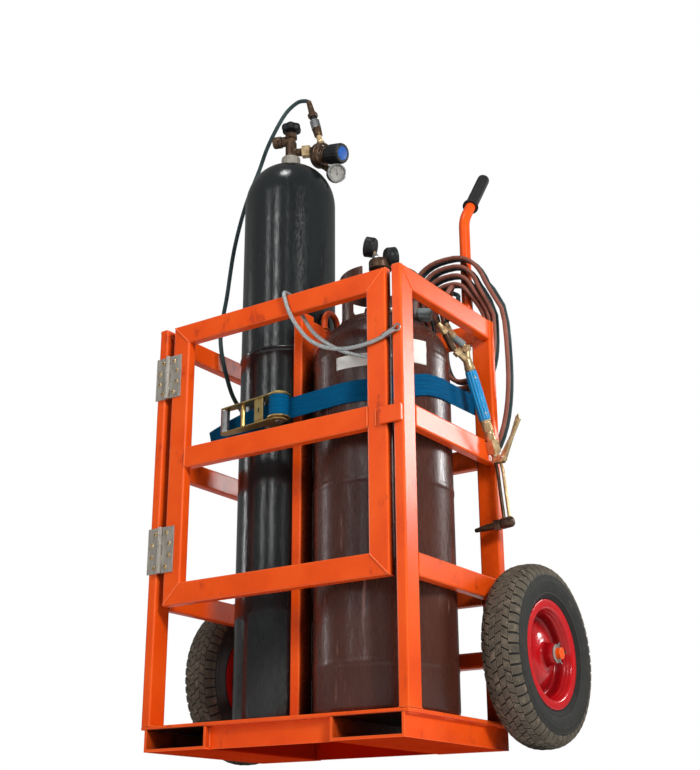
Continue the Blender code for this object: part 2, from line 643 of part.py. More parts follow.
def rim_profile():
    """Closed section of the pressed rim: tyre side, inner barrel, disc, hub and bore; the dish faces out."""
    half = RIM_WIDTH / 2
    wall = RIM_WALL
    lip = RIM_LIP_RADIUS
    seat = RIM_SEAT_RADIUS
    well = seat - RIM_WELL
    barrel = well - wall
    hub = HUB_LENGTH / 2
    flat = HUB_RADIUS + RIM_DISC_FLAT
    rise = RIM_DISC_RISE
    bore = AXLE_RADIUS + BORE_CLEARANCE
    return [(lip, half), (lip, half - wall), (seat, half - wall), (well, half * 0.35), (well, -half * 0.35),
            (seat, wall - half), (lip, wall - half), (lip, -half), (seat - wall, -half),
            (barrel, -half * 0.40), (barrel, -RIM_WELL), (flat, rise), (HUB_RADIUS, rise - wall / 2),
            (HUB_RADIUS, -hub), (bore, -hub), (bore, hub), (HUB_RADIUS - wall, hub),
            (HUB_RADIUS, rise + 2 * wall), (flat, rise + wall), (barrel, wall - RIM_WELL),
            (barrel, half * 0.40), (seat - wall, half)]


def build_wheels():
    for side, sign in (("left", -1), ("right", 1)):
        hub = (sign * WHEEL_X, AXLE_Y, WHEEL_RADIUS)
        pivot = new_empty(side + "_wheel_pivot", hub, CART)
        turn = (0, sign * math.pi / 2, 0)
        place(turned(side + "_tyre", tyre_profile(), 32, closed=True), TYRE, hub, turn, pivot)
        place(turned(side + "_rim", rim_profile(), 24, closed=True), RED, hub, turn, pivot)


def build_handles():
    lean = Vector((0, math.sin(HANDLE_LEAN), math.cos(HANDLE_LEAN)))
    foot = FRAME_TOP + GAP
    bend_z = FRAME_TOP + HANDLE_STRAIGHT
    bend_centre = (HANDLE_Y + HANDLE_BEND_RADIUS, bend_z)
    bend = arc(bend_centre, HANDLE_BEND_RADIUS, 180, 180 - math.degrees(HANDLE_LEAN), 6)
    bend_end = Vector((0, *bend[-1]))
    tip = bend_end + lean * (HANDLE_BARE + GRIP_LENGTH - GRIP_END - GAP)
    path = [(HANDLE_Y, foot)] + bend + [(tip.y, tip.z)]
    bore = HANDLE_RADIUS + GAP
    profile = [(0, GRIP_LENGTH), (GRIP_RADIUS * 0.65, GRIP_LENGTH), (GRIP_RADIUS, GRIP_LENGTH - GRIP_END)]
    profile += [(GRIP_RADIUS, GRIP_END), (GRIP_FLANGE_RADIUS, GRIP_FLANGE), (GRIP_FLANGE_RADIUS, 0)]
    profile += [(bore, 0), (bore, GRIP_LENGTH - GRIP_END), (0, GRIP_LENGTH - GRIP_END)]
    for side, sign in (("left", -1), ("right", 1)):
        x = sign * HANDLE_X
        place(rod(side + "_handle", [(x, y, z) for y, z in path], HANDLE_RADIUS, 4), ORANGE)
        start = bend_end + lean * HANDLE_BARE
        place(turned(side + "_grip", profile, 20), GRIP, (x, start.y, start.z), (-HANDLE_LEAN, 0, 0))


def build_gate():
    pivot = new_empty("gate_pivot", (PIN_X, PIN_Y, 0), CART)
    bottom, top = LOW_RAIL_BOTTOM, FRAME_TOP
    back = TUBE_NARROW
    tube("gate_hinge_stile", (GATE_LEFT, 0, bottom), (GATE_LEFT + TUBE_WIDE, back, top), 2,
         [(1, 0, 1), (-1, 0, 1)], pivot)
    tube("gate_latch_stile", (GATE_RIGHT - TUBE_WIDE, 0, bottom), (GATE_RIGHT, back, top), 2,
         [(1, 0, -1), (-1, 0, -1)], pivot)
    left, right = GATE_LEFT + MITRE_GAP, GATE_RIGHT - MITRE_GAP
    tube("gate_top_rail", (left, 0, top - TUBE_WIDE), (right, back, top), 0, [(-1, 2, -1), (1, 2, -1)], pivot)
    tube("gate_bottom_rail", (left, 0, bottom), (right, back, bottom + TUBE_WIDE), 0,
         [(-1, 2, 1), (1, 2, 1)], pivot)
    tube("gate_mid_rail", (GATE_LEFT + TUBE_WIDE + GAP, 0, MID_RAIL_BOTTOM),
         (GATE_RIGHT - TUBE_WIDE - GAP, back, MID_RAIL_TOP), 0, (), pivot)
    tab = box("gate_stop_tab", (STOP_TAB_LENGTH, STOP_TAB_THICKNESS, STOP_TAB_HEIGHT), DECK_EDGE)
    tab_x = INNER_SIDE + STOP_TAB_LAP - STOP_TAB_LENGTH / 2
    tab_y = -GAP - STOP_TAB_THICKNESS / 2
    place(tab, ORANGE, (tab_x, tab_y, MID_RAIL_BOTTOM + STOP_TAB_HEIGHT / 2), pivot=pivot)
    for level, z in (("upper", UPPER_HINGE_Z), ("lower", LOWER_HINGE_Z)):
        build_hinge(level, z, pivot)


def hinge_leaf(name, sign, own):
    """Leaf with a tongue at each of its own knuckles; sign is the side of the pin that it lies on."""
    pitch = HINGE_LENGTH / KNUCKLES
    edge = HINGE_BARREL_RADIUS + KNUCKLE_GAP
    points = [(sign * HINGE_LEAF_WIDTH, 0)]
    for i in range(KNUCKLES):
        reach = 0 if i in own else sign * edge
        trim = KNUCKLE_GAP / 2 if i in own else -KNUCKLE_GAP / 2
        low = 0 if i == 0 else i * pitch + trim
        high = HINGE_LENGTH if i == KNUCKLES - 1 else (i + 1) * pitch - trim
        points += [(reach, low), (reach, high)]
    points.append((sign * HINGE_LEAF_WIDTH, HINGE_LENGTH))
    return outline(name, points, HINGE_LEAF)


def build_hinge(level, z, gate_pivot):
    pitch = HINGE_LENGTH / KNUCKLES
    leaf_y = -GAP - HINGE_LEAF / 2
    turn = (math.pi / 2, 0, 0)
    post_own = [i for i in range(KNUCKLES) if i % 2 == 0]
    gate_own = [i for i in range(KNUCKLES) if i % 2 == 1]
    post = hinge_leaf(level + "_hinge_post_leaf", -1, post_own)
    place(post, ZINC, (PIN_X, leaf_y, z), turn)
    spindle = [(0, HINGE_LENGTH)]
    for i in reversed(range(KNUCKLES)):
        own = i in post_own
        radius = HINGE_BARREL_RADIUS if own else HINGE_PIN_RADIUS
        trim = KNUCKLE_GAP / 2 if own else -KNUCKLE_GAP / 2
        high = HINGE_LENGTH if i == KNUCKLES - 1 else (i + 1) * pitch - trim
        low = 0 if i == 0 else i * pitch + trim
        spindle += [(radius, high), (radius, low)]
    spindle.append((0, 0))
    boolean(post, "UNION", turned(level + "_hinge_spindle", spindle, 12), (PIN_X, PIN_Y, z))
    gate = hinge_leaf(level + "_hinge_gate_leaf", 1, gate_own)
    place(gate, ZINC, (PIN_X, leaf_y, z), turn, gate_pivot)
    bore = HINGE_PIN_RADIUS + BORE_CLEARANCE
    for i in gate_own:
        low, high = i * pitch + KNUCKLE_GAP / 2, (i + 1) * pitch - KNUCKLE_GAP / 2
        knuckle = cylinder(level + "_knuckle_" + str(i), HINGE_BARREL_RADIUS, high - low, 12)
        boolean(gate, "UNION", knuckle, (PIN_X, PIN_Y, z + low))
    hole = cylinder(level + "_hinge_bore", bore, HINGE_LENGTH + 2 * GAP, 12)
    boolean(gate, "DIFFERENCE", hole, (PIN_X, PIN_Y, z - GAP))


def tangent(point, centre, radius, side):
    """Angle, in degrees, of the point where a line from a point touches a circle, on one side of it."""
    run = Vector(point) - Vector(centre)
    return math.degrees(math.atan2(run.y, run.x) + side * math.acos(radius / run.length))


def band(name, path):
    """Webbing on edge along a path of (x, y, z), grown to the left-hand side of the way it runs."""
    work = bmesh.new()
    low = [work.verts.new((x, y, z - STRAP_WIDTH / 2)) for x, y, z in path]
    edges = [work.edges.new(pair) for pair in zip(low, low[1:])]
    grown = bmesh.ops.extrude_edge_only(work, edges=edges)["geom"]
    raised = [item for item in grown if isinstance(item, bmesh.types.BMVert)]
    bmesh.ops.translate(work, vec=(0, 0, STRAP_WIDTH), verts=raised)
    obj = mesh_object(name, work)
    shell = obj.modifiers.new("webbing", "SOLIDIFY")
    shell.thickness = STRAP_THICKNESS
    shell.offset = 1.0
    shell.use_even_offset = True
    return obj


def build_strap():
    """Long strap round the acetylene cylinder to its tail, short one round the oxygen cylinder to the pin."""
    acetylene, oxygen = (ACETYLENE_X, ACETYLENE_Y), (OXYGEN_X, OXYGEN_Y)
    post = HALF_WIDTH - TUBE_WIDE
    beside = post - 2 * GAP - STRAP_THICKNESS
    behind = FRAME_DEPTH + 2 * GAP + STRAP_THICKNESS
    rest = ACETYLENE_RADIUS + 2 * GAP
    corner = (beside, REAR_FRONT)
    long_line = [(post + TUBE_NARROW, behind), (beside, behind), corner]
    first, last = tangent(corner, acetylene, rest, -1), tangent(STRAP_TAIL, acetylene, rest, 1)
    long_line += arc(acetylene, rest, first, last, 14)
    touch = Vector(long_line[-1])
    along = (Vector(STRAP_TAIL) - touch).normalized()
    loose = touch + along * ((SPOOL_X - touch.x) / along.x + RATCHET_PIN_REACH + SPOOL_RADIUS)
    long_line += [tuple(loose), STRAP_TAIL]
    rise = [STRAP_RISE * max(0.0, 1 - i / STRAP_RISE_POINTS) for i in range(len(long_line))]
    rise[-1] -= TAIL_DROOP
    place(band("strap_webbing", [(x, y, STRAP_Z + up) for (x, y), up in zip(long_line, rise)]), WEBBING)
    front = Vector((-along.y, along.x))
    axis = touch + along * ((SPOOL_X - touch.x) / along.x)
    axis += front * (STRAP_THICKNESS + SPOOL_RADIUS + 2 * GAP)
    pin = axis + along * RATCHET_PIN_REACH - front * (SPOOL_RADIUS + 2 * RATCHET_PIN_RADIUS)
    build_ratchet(axis, pin, along, front)
    start = pin + along * (RATCHET_PIN_RADIUS + GAP)
    rest = OXYGEN_RADIUS + 2 * GAP
    corner = (-beside, REAR_FRONT)
    last = tangent(corner, oxygen, rest, 1) - 360
    short_line = [tuple(start)] + arc(oxygen, rest, tangent(start, oxygen, rest, -1), last, 8)
    short_line += [corner, (-beside, behind), (-post - TUBE_NARROW, behind)]
    place(band("strap_anchor_webbing", [(x, y, STRAP_Z) for x, y in short_line]), WEBBING)


def stadium(start, end, start_radius, end_radius, count=7):
    """Outline of a link with round ends of two radii, along the plane's X."""
    points = arc(start, start_radius, 90, 270, count)
    return points + arc(end, end_radius, -90, 90, count)


def build_ratchet(axis, pin, along, front):
    """Ratchet on the strap: side plates with spool and end pin, and the handle on the spool's axle."""
    inner = STRAP_WIDTH / 2 + GAP
    frame_z = inner + RATCHET_PLATE / 2
    handle_z = inner + RATCHET_PLATE + GAP + RATCHET_PLATE / 2
    pivot = new_empty("ratchet_pivot", (axis.x, axis.y, STRAP_Z), CART)
    turn = math.atan2(along.y, along.x)
    reach = (pin - axis).length
    arm_turn = math.atan2(pin.y - axis.y, pin.x - axis.x)
    height = 2 * (inner + RATCHET_PLATE)
    frame = cylinder("ratchet_frame", SPOOL_RADIUS, height)
    place(frame, YELLOW_ZINC, (axis.x, axis.y, STRAP_Z - height / 2))
    for name, z in (("upper", frame_z), ("lower", -frame_z)):
        shape = stadium((0, 0), (reach, 0), SPOOL_RADIUS + RATCHET_CHEEK, 2 * RATCHET_PIN_RADIUS)
        arm = outline(name + "_ratchet_side", shape, RATCHET_PLATE)
        boolean(frame, "UNION", arm, (axis.x, axis.y, STRAP_Z + z), (0, 0, arm_turn))
    boolean(frame, "UNION", cylinder("ratchet_pin", RATCHET_PIN_RADIUS, height, 12),
            (pin.x, pin.y, STRAP_Z - height / 2))
    axle_length = 2 * (handle_z + RATCHET_PLATE)
    boolean(frame, "UNION", cylinder("spool_axle", SPOOL_AXLE_RADIUS, axle_length, 12),
            (axis.x, axis.y, STRAP_Z - axle_length / 2))
    span = 2 * handle_z + RATCHET_PLATE
    grip = axis + along * RATCHET_HANDLE_LENGTH
    handle = cylinder("ratchet_handle", RATCHET_BAR_RADIUS, span, 14)
    place(handle, YELLOW_ZINC, (grip.x, grip.y, STRAP_Z - span / 2), pivot=pivot)
    for name, z in (("upper", handle_z), ("lower", -handle_z)):
        shape = stadium((0, 0), (RATCHET_HANDLE_LENGTH, 0), SPOOL_RADIUS * 0.8,
                        RATCHET_BAR_RADIUS + RATCHET_CHEEK / 2)
        side = outline(name + "_handle_side", shape, RATCHET_PLATE)
        boolean(handle, "UNION", side, (axis.x, axis.y, STRAP_Z + z), (0, 0, turn))
    brace = axis + along * (RATCHET_HANDLE_LENGTH * 0.66)
    boolean(handle, "UNION", cylinder("handle_brace", RATCHET_BAR_RADIUS * 0.6, span, 10),
            (brace.x, brace.y, STRAP_Z - span / 2))
    pawl = axis + along * (RATCHET_HANDLE_LENGTH * 0.30) + front * (SPOOL_RADIUS * 0.5)
    plate = box("handle_pawl", (PAWL_LENGTH, RATCHET_PLATE, span))
    boolean(handle, "UNION", plate, (pawl.x, pawl.y, STRAP_Z), (0, 0, turn))
    hole = cylinder("handle_hole", SPOOL_AXLE_RADIUS + BORE_CLEARANCE, 2 * span, 12)
    boolean(handle, "DIFFERENCE", hole, (axis.x, axis.y, STRAP_Z - span))


def build_oxygen():
    radius, neck = OXYGEN_RADIUS, OXYGEN_NECK_RADIUS
    rise = OXYGEN_NECK_Z - OXYGEN_SHOULDER_Z
    shoulder = [(neck + (radius - neck) * math.sin(math.radians(a)),
                 OXYGEN_SHOULDER_Z + rise * math.cos(math.radians(a))) for a in range(10, 91, 16)]
    ring_top = OXYGEN_NECK_Z + OXYGEN_NECK_RING
    edge = OXYGEN_NECK_EDGE
    profile = [(0, ring_top), (neck - edge, ring_top), (neck, ring_top - edge), (neck, OXYGEN_NECK_Z)]
    profile += shoulder
    profile += [(radius, FLOOR + CYLINDER_FOOT_RADIUS), (radius - CYLINDER_FOOT_RADIUS, FLOOR), (0, FLOOR)]
    place(turned("oxygen_cylinder", profile, 32), OXYGEN_PAINT, (OXYGEN_X, OXYGEN_Y, 0))
    build_oxygen_valve(ring_top + GAP)


def build_oxygen_valve(z):
    foot = Vector((OXYGEN_X, OXYGEN_Y, z))
    valve = solid("oxygen_valve", VALVE_PROFILE, 16)
    place(valve, BRASS, foot)
    outlet_start = foot + UP * OUTLET_RISE
    outlet = cylinder("oxygen_outlet", OUTLET_RADIUS, OUTLET_REACH, 12)
    boolean(valve, "UNION", outlet, outlet_start, aim(OUTLET))
    cap = solid("oxygen_safety_cap", SAFETY_CAP_PROFILE, 14)
    boolean(valve, "UNION", cap, foot + UP * SAFETY_CAP_RISE, aim(level(SAFETY_CAP_ANGLE)))
    middle = foot + UP * (VALVE_PROFILE[0][1] + GAP + HANDWHEEL_THICKNESS / 2)
    pivot = new_empty("handwheel_pivot", middle, CART)
    count = 6 * HANDWHEEL_LOBES
    lobes = []
    for angle in (2 * math.pi * i / count for i in range(count)):
        radius = HANDWHEEL_RADIUS * (1 + HANDWHEEL_LOBE_SHARE * (math.cos(HANDWHEEL_LOBES * angle) - 1))
        lobes.append((radius * math.cos(angle), radius * math.sin(angle)))
    wheel = outline("oxygen_handwheel", lobes, HANDWHEEL_THICKNESS)
    bevel = wheel.modifiers.new("soft_rim", "BEVEL")
    bevel.width = HANDWHEEL_EDGE
    bevel.segments = 1
    bevel.angle_limit = math.radians(60)
    place(wheel, BLACK_PLASTIC, middle, pivot=pivot)
    build_oxygen_regulator(outlet_start)


def gauge_can(name, steps):
    """Pressure gauge about its own Z, with its face on top."""
    radius, depth, edge = GAUGE_RADIUS, GAUGE_DEPTH, GAUGE_EDGE
    can = [(radius - edge, depth), (radius, depth - edge), (radius, 2 * edge), (radius - 2 * edge, 0)]
    return solid(name, can, steps)


def build_oxygen_regulator(outlet_start):
    centre = outlet_start + OUTLET * REGULATOR_REACH - UP * REGULATOR_DROP
    half, edge = REGULATOR_DEPTH / 2, REGULATOR_EDGE
    bonnet_top = half + BONNET_LENGTH
    body = [(BONNET_RADIUS, bonnet_top), (BONNET_RADIUS, half), (REGULATOR_RADIUS - edge, half),
            (REGULATOR_RADIUS, half - edge), (REGULATOR_RADIUS, edge - half),
            (REGULATOR_RADIUS - edge, -half)]
    regulator = solid("oxygen_regulator", body, 20)
    place(regulator, BRASS, centre, aim(OXYGEN_KNOB_AXIS))
    stem_length = REGULATOR_REACH - OUTLET_REACH - GAP
    nut = [(INLET_STEM_RADIUS, stem_length), (INLET_STEM_RADIUS, INLET_NUT_LENGTH),
           (INLET_NUT_RADIUS, INLET_NUT_LENGTH), (INLET_NUT_RADIUS, 0)]
    stem_start = outlet_start + OUTLET * (OUTLET_REACH + GAP)
    boolean(regulator, "UNION", solid("inlet_nut", nut, 6), stem_start, aim(OUTLET))
    gauge = centre + Vector(OXYGEN_GAUGE_PLACE)
    facing = Vector(OXYGEN_GAUGE_FACING).normalized()
    stem_root = centre + Vector(OXYGEN_GAUGE_ROOT)
    stem = gauge - stem_root
    pipe = cylinder("oxygen_gauge_stem", GAUGE_STEM_RADIUS, stem.length, 10)
    boolean(regulator, "UNION", pipe, stem_root, aim(stem))
    boolean(regulator, "UNION", gauge_can("oxygen_gauge", 18), gauge - facing * GAUGE_DEPTH / 2, aim(facing))
    tower = solid("oxygen_hose_fitting", OXYGEN_FITTING_PROFILE, 12)
    tower_root = Vector(OXYGEN_FITTING_TOP) - OXYGEN_FITTING_AXIS * OXYGEN_FITTING_PROFILE[0][1]
    boolean(regulator, "UNION", tower, tower_root, aim(OXYGEN_FITTING_AXIS))
    knob_start = centre + OXYGEN_KNOB_AXIS * (bonnet_top + GAP)
    pivot = new_empty("oxygen_knob_pivot", knob_start, CART)
    radius, length, edge = OXYGEN_KNOB_RADIUS, OXYGEN_KNOB_LENGTH, OXYGEN_KNOB_EDGE
    knob = [(radius - 3 * edge, length), (radius - edge, length - edge), (radius, length - 4 * edge),
            (radius - edge, 3 * edge), (radius - 3 * edge, 0)]
    place(solid("oxygen_regulator_knob", knob, 24), BLACK_PLASTIC, knob_start, aim(OXYGEN_KNOB_AXIS), pivot)


def acetylene_dome(radius):
    return ACETYLENE_SHOULDER_Z + ACETYLENE_DOME * math.sqrt(1 - (radius / ACETYLENE_RADIUS) ** 2)


def guard_cutter(name, start, end, low, high):
    """Wedge that takes the guard's wall out between two angles and two heights."""
    wedge = [(0, 0)] + arc((0, 0), 2 * GUARD_RADIUS, start, end, 7)
    return outline(name, wedge, high - low), (ACETYLENE_X, ACETYLENE_Y, (low + high) / 2)


def build_acetylene():
    """Cylinder with a guard round its valve: legs under a rim, and a mouth where the rim is left out."""
    radius = ACETYLENE_RADIUS
    angles = [math.radians(a) for a in range(15, 91, 15)]
    dome = [(radius * math.sin(a), ACETYLENE_SHOULDER_Z + ACETYLENE_DOME * math.cos(a)) for a in angles]
    profile = [(0, ACETYLENE_SHOULDER_Z + ACETYLENE_DOME)] + dome
    profile += [(radius, FLOOR + CYLINDER_FOOT_RADIUS), (radius - CYLINDER_FOOT_RADIUS, FLOOR), (0, FLOOR)]
    body = turned("acetylene_cylinder", profile, 36)
    place(body, ACETYLENE_PAINT, (ACETYLENE_X, ACETYLENE_Y, 0))
    inner = GUARD_RADIUS - GUARD_WALL
    root = acetylene_dome(GUARD_RADIUS) - GUARD_FOOT
    section = [(GUARD_RADIUS - GUARD_EDGE, GUARD_TOP), (GUARD_RADIUS, GUARD_TOP - GUARD_EDGE),
               (GUARD_RADIUS, root), (inner, root), (inner, GUARD_TOP)]
    ring = turned("valve_guard", section, 32, closed=True)
    low = acetylene_dome(inner) + GUARD_FOOT
    half = GUARD_LEG_WIDTH / 2
    for leg, following in zip(GUARD_LEGS, GUARD_LEGS[1:] + (GUARD_LEGS[0] + 360,)):
        window, middle = guard_cutter("guard_window_" + str(leg), leg + half, following - half, low,
                                      GUARD_TOP - GUARD_RIM)
        boolean(ring, "DIFFERENCE", window, middle)
    mouth, middle = guard_cutter("guard_mouth", *GUARD_MOUTH, low + GUARD_FOOT, GUARD_TOP + GUARD_RIM)
    boolean(ring, "DIFFERENCE", mouth, middle)
    boolean(body, "UNION", ring, (ACETYLENE_X, ACETYLENE_Y, 0))


def build_acetylene_regulator():
    regulator = solid("acetylene_regulator", COLUMN_PROFILE, 12)
    place(regulator, BRASS, ACETYLENE_FOOT)
    bonnet_start = ACETYLENE_FOOT + UP * ACETYLENE_BONNET_RISE
    bonnet = solid("acetylene_bonnet", ACETYLENE_BONNET_PROFILE, 12)
    boolean(regulator, "UNION", bonnet, bonnet_start, aim(ACETYLENE_KNOB_AXIS))
    outlet = solid("fuel_outlet", FUEL_OUTLET_PROFILE, 12)
    boolean(regulator, "UNION", outlet, FUEL_OUTLET_START, aim(FUEL_OUTLET_AXIS))
    manifold = ACETYLENE_FOOT + UP * MANIFOLD_RISE
    for side, place_from, facing in (("left", LEFT_GAUGE_PLACE, LEFT_GAUGE_FACING),
                                     ("right", RIGHT_GAUGE_PLACE, RIGHT_GAUGE_FACING)):
        reach = Vector(place_from)
        facing = Vector(facing).normalized()
        stem = cylinder(side + "_gauge_stem", GAUGE_STEM_RADIUS, reach.length, 8)
        boolean(regulator, "UNION", stem, manifold, aim(reach))
        back = manifold + reach - facing * GAUGE_DEPTH / 2
        boolean(regulator, "UNION", gauge_can(side + "_gauge", 16), back, aim(facing))
    knob_start = bonnet_start + ACETYLENE_KNOB_AXIS * (ACETYLENE_BONNET_PROFILE[0][1] + GAP)
    pivot = new_empty("acetylene_knob_pivot", knob_start, CART)
    knob = solid("acetylene_regulator_knob", ACETYLENE_KNOB_PROFILE, 12)
    place(knob, GREY_PLASTIC, knob_start, aim(ACETYLENE_KNOB_AXIS), pivot)


def inlet_axis(inlet):
    return (inlet - INLET_ROOT).normalized()


def build_torch():
    axis = TORCH_BLOCK - TORCH_TOP
    body = solid("torch_body", [(radius, axis.length * share) for radius, share in TORCH_PROFILE], 12)
    place(body, BRASS, TORCH_TOP, aim(axis))
    for name, inlet in (("fuel_inlet", FUEL_INLET), ("oxygen_inlet", OXYGEN_INLET)):
        reach = (inlet - INLET_ROOT).length - GAP
        nut_top = reach - TORCH_BARB_LENGTH
        nut_foot = nut_top - TORCH_CHAMFER - TORCH_NUT_LENGTH
        thin, wide, edge = TORCH_STEM_RADIUS, TORCH_NUT_RADIUS, TORCH_CHAMFER
        stem = [(thin, reach), (thin, nut_top), (wide, nut_top - edge), (wide, nut_foot),
                (thin, nut_foot - edge), (thin, 0)]
        boolean(body, "UNION", solid(name, stem, 12), INLET_ROOT, aim(inlet_axis(inlet)))
    bow = TORCH_BLOCK.lerp(TORCH_HEAD, 0.55) + Vector(TORCH_TUBE_BOW)
    spine = [TORCH_BLOCK - axis * 0.03, TORCH_BLOCK + axis * 0.10, bow, TORCH_HEAD]
    for name, sign in (("near_tube", -1), ("far_tube", 1)):
        shift = Vector(TORCH_TUBE_OFFSET) * sign
        route = smooth_route([point + shift for point in spine], 6 * TORCH_TUBE_RADIUS)
        boolean(body, "UNION", baked(rod(name, route, TORCH_TUBE_RADIUS, 1)))
    nozzle = TORCH_TIP - TORCH_HEAD
    tip = [(radius, nozzle.length + down) for radius, down in NOZZLE_PROFILE]
    tip += [(TORCH_HEAD_RADIUS, tip[-1][1] - TORCH_CHAMFER), (TORCH_HEAD_RADIUS, -TORCH_HEAD_BACK),
            (NOZZLE_PROFILE[2][0], -TORCH_HEAD_CAP)]
    boolean(body, "UNION", solid("torch_nozzle", tip, 12), TORCH_HEAD, aim(nozzle))
    build_torch_lever(body)


def build_torch_lever(body):
    """Cutting lever on a fork at the valve block; its pin lies along Y."""
    half = LEVER_WIDTH / 2 + GAP
    near = LEVER_PIN_RADIUS + LEVER_CHEEK
    cheek = [(near, LEVER_CHEEK_TOP), (near, LEVER_CHEEK_BOTTOM), (-LEVER_CHEEK_REACH, LEVER_CHEEK_BOTTOM),
             (-LEVER_CHEEK_REACH, LEVER_CHEEK_TOP)]
    for name, sign in (("front_cheek", -1), ("rear_cheek", 1)):
        plate = outline("lever_" + name, cheek, LEVER_CHEEK)
        middle = LEVER_PIVOT + Vector((0, sign * (half + LEVER_CHEEK / 2), 0))
        boolean(body, "UNION", plate, middle, (math.pi / 2, 0, 0))
    pin_half = half + LEVER_CHEEK * 0.6
    pin = cylinder("lever_pin", LEVER_PIN_RADIUS, 2 * pin_half, 12)
    boolean(body, "UNION", pin, LEVER_PIVOT - Vector((0, pin_half, 0)), (-math.pi / 2, 0, 0))
    pivot = new_empty("lever_pivot", LEVER_PIVOT, CART)
    run = LEVER_TIP - LEVER_PIVOT
    thin = LEVER_THICKNESS / 2
    shape = arc((0, 0), LEVER_EYE_RADIUS, 90, 270, 8)
    shape += [(run.length * 0.5, -thin), (run.length * 0.9, -thin), (run.length, thin),
              (run.length * 0.9, 3 * thin), (run.length * 0.5, thin)]
    lever = outline("torch_lever", shape, LEVER_WIDTH)
    place(lever, BRASS, LEVER_PIVOT, (math.pi / 2, -math.atan2(run.z, run.x), 0), pivot)
    hole = cylinder("lever_hole", LEVER_PIN_RADIUS + BORE_CLEARANCE, 2 * LEVER_WIDTH, 12)
    boolean(lever, "DIFFERENCE", hole, LEVER_PIVOT - Vector((0, LEVER_WIDTH, 0)), (-math.pi / 2, 0, 0))


def drape(z, lay):
    """Place of a loop at a height: behind the frame, then forward over the rear rail before the handle."""
    t = min(1.0, max(0.0, (z - FRAME_TOP - DRAPE_START) / DRAPE_LENGTH))
    y = COIL_BACK - DRAPE_FORWARD * t * t * (3 - 2 * t)
    slope = -DRAPE_FORWARD * 6 * t * (1 - t) / DRAPE_LENGTH
    normal = Vector((1, -slope)).normalized()
    return y + lay * normal[0], z + lay * normal[1]


def power(value, exponent):
    return math.copysign(abs(value) ** exponent, value)


def coil_route(lay):
    """Spiral of long loops from the outer left side inward to the top, with a straight end at each side."""
    points = []
    count = round(COIL_TURNS * COIL_POINTS)
    bounds = (COIL_LEFT, COIL_RIGHT, COIL_TOP, COIL_BOTTOM)
    for i in range(count + 1):
        share = i / count
        left, right, top, bottom = (first + (last - first) * share for first, last in bounds)
        long_loop = math.exp(-((share - LONG_LOOP_SHARE) / LONG_LOOP_SPREAD) ** 2)
        right += LONG_LOOP_REACH * long_loop
        bottom -= LONG_LOOP_DROP * long_loop
        angle = math.pi - 2 * math.pi * COIL_TURNS * share
        x = (left + right) / 2 + (right - left) / 2 * power(math.cos(angle), 2 / COIL_SQUARENESS)
        z = (top + bottom) / 2 + (top - bottom) / 2 * power(math.sin(angle), 2 / COIL_SQUARENESS)
        y, z = drape(z, lay)
        points.append(Vector((x, y, z)))
    start = points[0] - UP * HOSE_DIAMETER
    end = points[-1] + RIGHT * HOSE_DIAMETER
    return [start] + points + [end]


def least_gap(points, diameter):
    """Least clear distance between turns of a coil, measured on close points of its centre line."""
    fine = [a.lerp(b, i / 4) for a, b in zip(points, points[1:]) for i in range(4)]
    skip = 4 * COIL_POINTS // 2
    pairs = ((a, b) for i, a in enumerate(fine) for b in fine[i + skip:])
    return min((a - b).length for a, b in pairs) - diameter


def hose(name, material, start, leave, points, end, arrive):
    """Hose through the given points, straight for a diameter where it leaves and where it arrives."""
    first, last = start + leave * HOSE_DIAMETER, end - arrive * HOSE_DIAMETER
    route = [start] + smooth_route([first, *points, last], 2.5 * HOSE_DIAMETER) + [end]
    place(rod(name, route, HOSE_DIAMETER / 2, 2), material)


def build_hoses():
    ends = {}
    for gas, lay, material in (("fuel", 0.0, FUEL_HOSE), ("oxygen", HOSE_LAY, OXYGEN_HOSE)):
        route = coil_route(lay)
        print(gas, "coil: least gap", round(1000 * least_gap(route, HOSE_DIAMETER), 2), "mm")
        place(rod(gas + "_hose_coil", route, HOSE_DIAMETER / 2, 1), material)
        ends[gas] = (route[0] - UP * GAP, route[-1] + RIGHT * GAP)
    fuel_start = FUEL_OUTLET_START + FUEL_OUTLET_AXIS * (FUEL_OUTLET_PROFILE[0][1] + GAP)
    oxygen_start = Vector(OXYGEN_FITTING_TOP) + OXYGEN_FITTING_AXIS * GAP
    hose("fuel_supply_hose", FUEL_HOSE, fuel_start, FUEL_OUTLET_AXIS, FUEL_SUPPLY_ROUTE, ends["fuel"][0], UP)
    hose("oxygen_supply_hose", OXYGEN_HOSE, oxygen_start, OXYGEN_FITTING_AXIS, OXYGEN_SUPPLY_ROUTE,
         ends["oxygen"][0], UP)
    hose("fuel_torch_lead", FUEL_HOSE, ends["fuel"][1], RIGHT, FUEL_LEAD_ROUTE, FUEL_INLET,
         -inlet_axis(FUEL_INLET))
    hose("oxygen_torch_lead", OXYGEN_HOSE, ends["oxygen"][1], RIGHT, OXYGEN_LEAD_ROUTE, OXYGEN_INLET,
         -inlet_axis(OXYGEN_INLET))


def build_tether():
    """Wire rope over the gate's top rail; both strands come back to the latch stile."""
    radius = TETHER_DIAMETER / 2
    front = -radius - 2 * GAP
    back = TUBE_NARROW + radius + 2 * GAP
    over = FRAME_TOP + radius + 2 * GAP
    step = 3 * TETHER_DIAMETER
    front_strand = smooth_route([(x, front, z) for x, z in TETHER_FRONT_ROUTE], step)
    back_strand = smooth_route([(x, back, z) for x, z in TETHER_BACK_ROUTE], step)
    x = TETHER_CREST_X
    crest = [(x, front, over - radius), (x, front + radius, over + GAP), (x, back - radius, over + GAP),
             (x, back, over - radius)]
    rope = rod("gate_tether", front_strand + crest + back_strand, radius, 2)
    place(rope, WIRE_ROPE, pivot=bpy.data.objects["gate_pivot"])


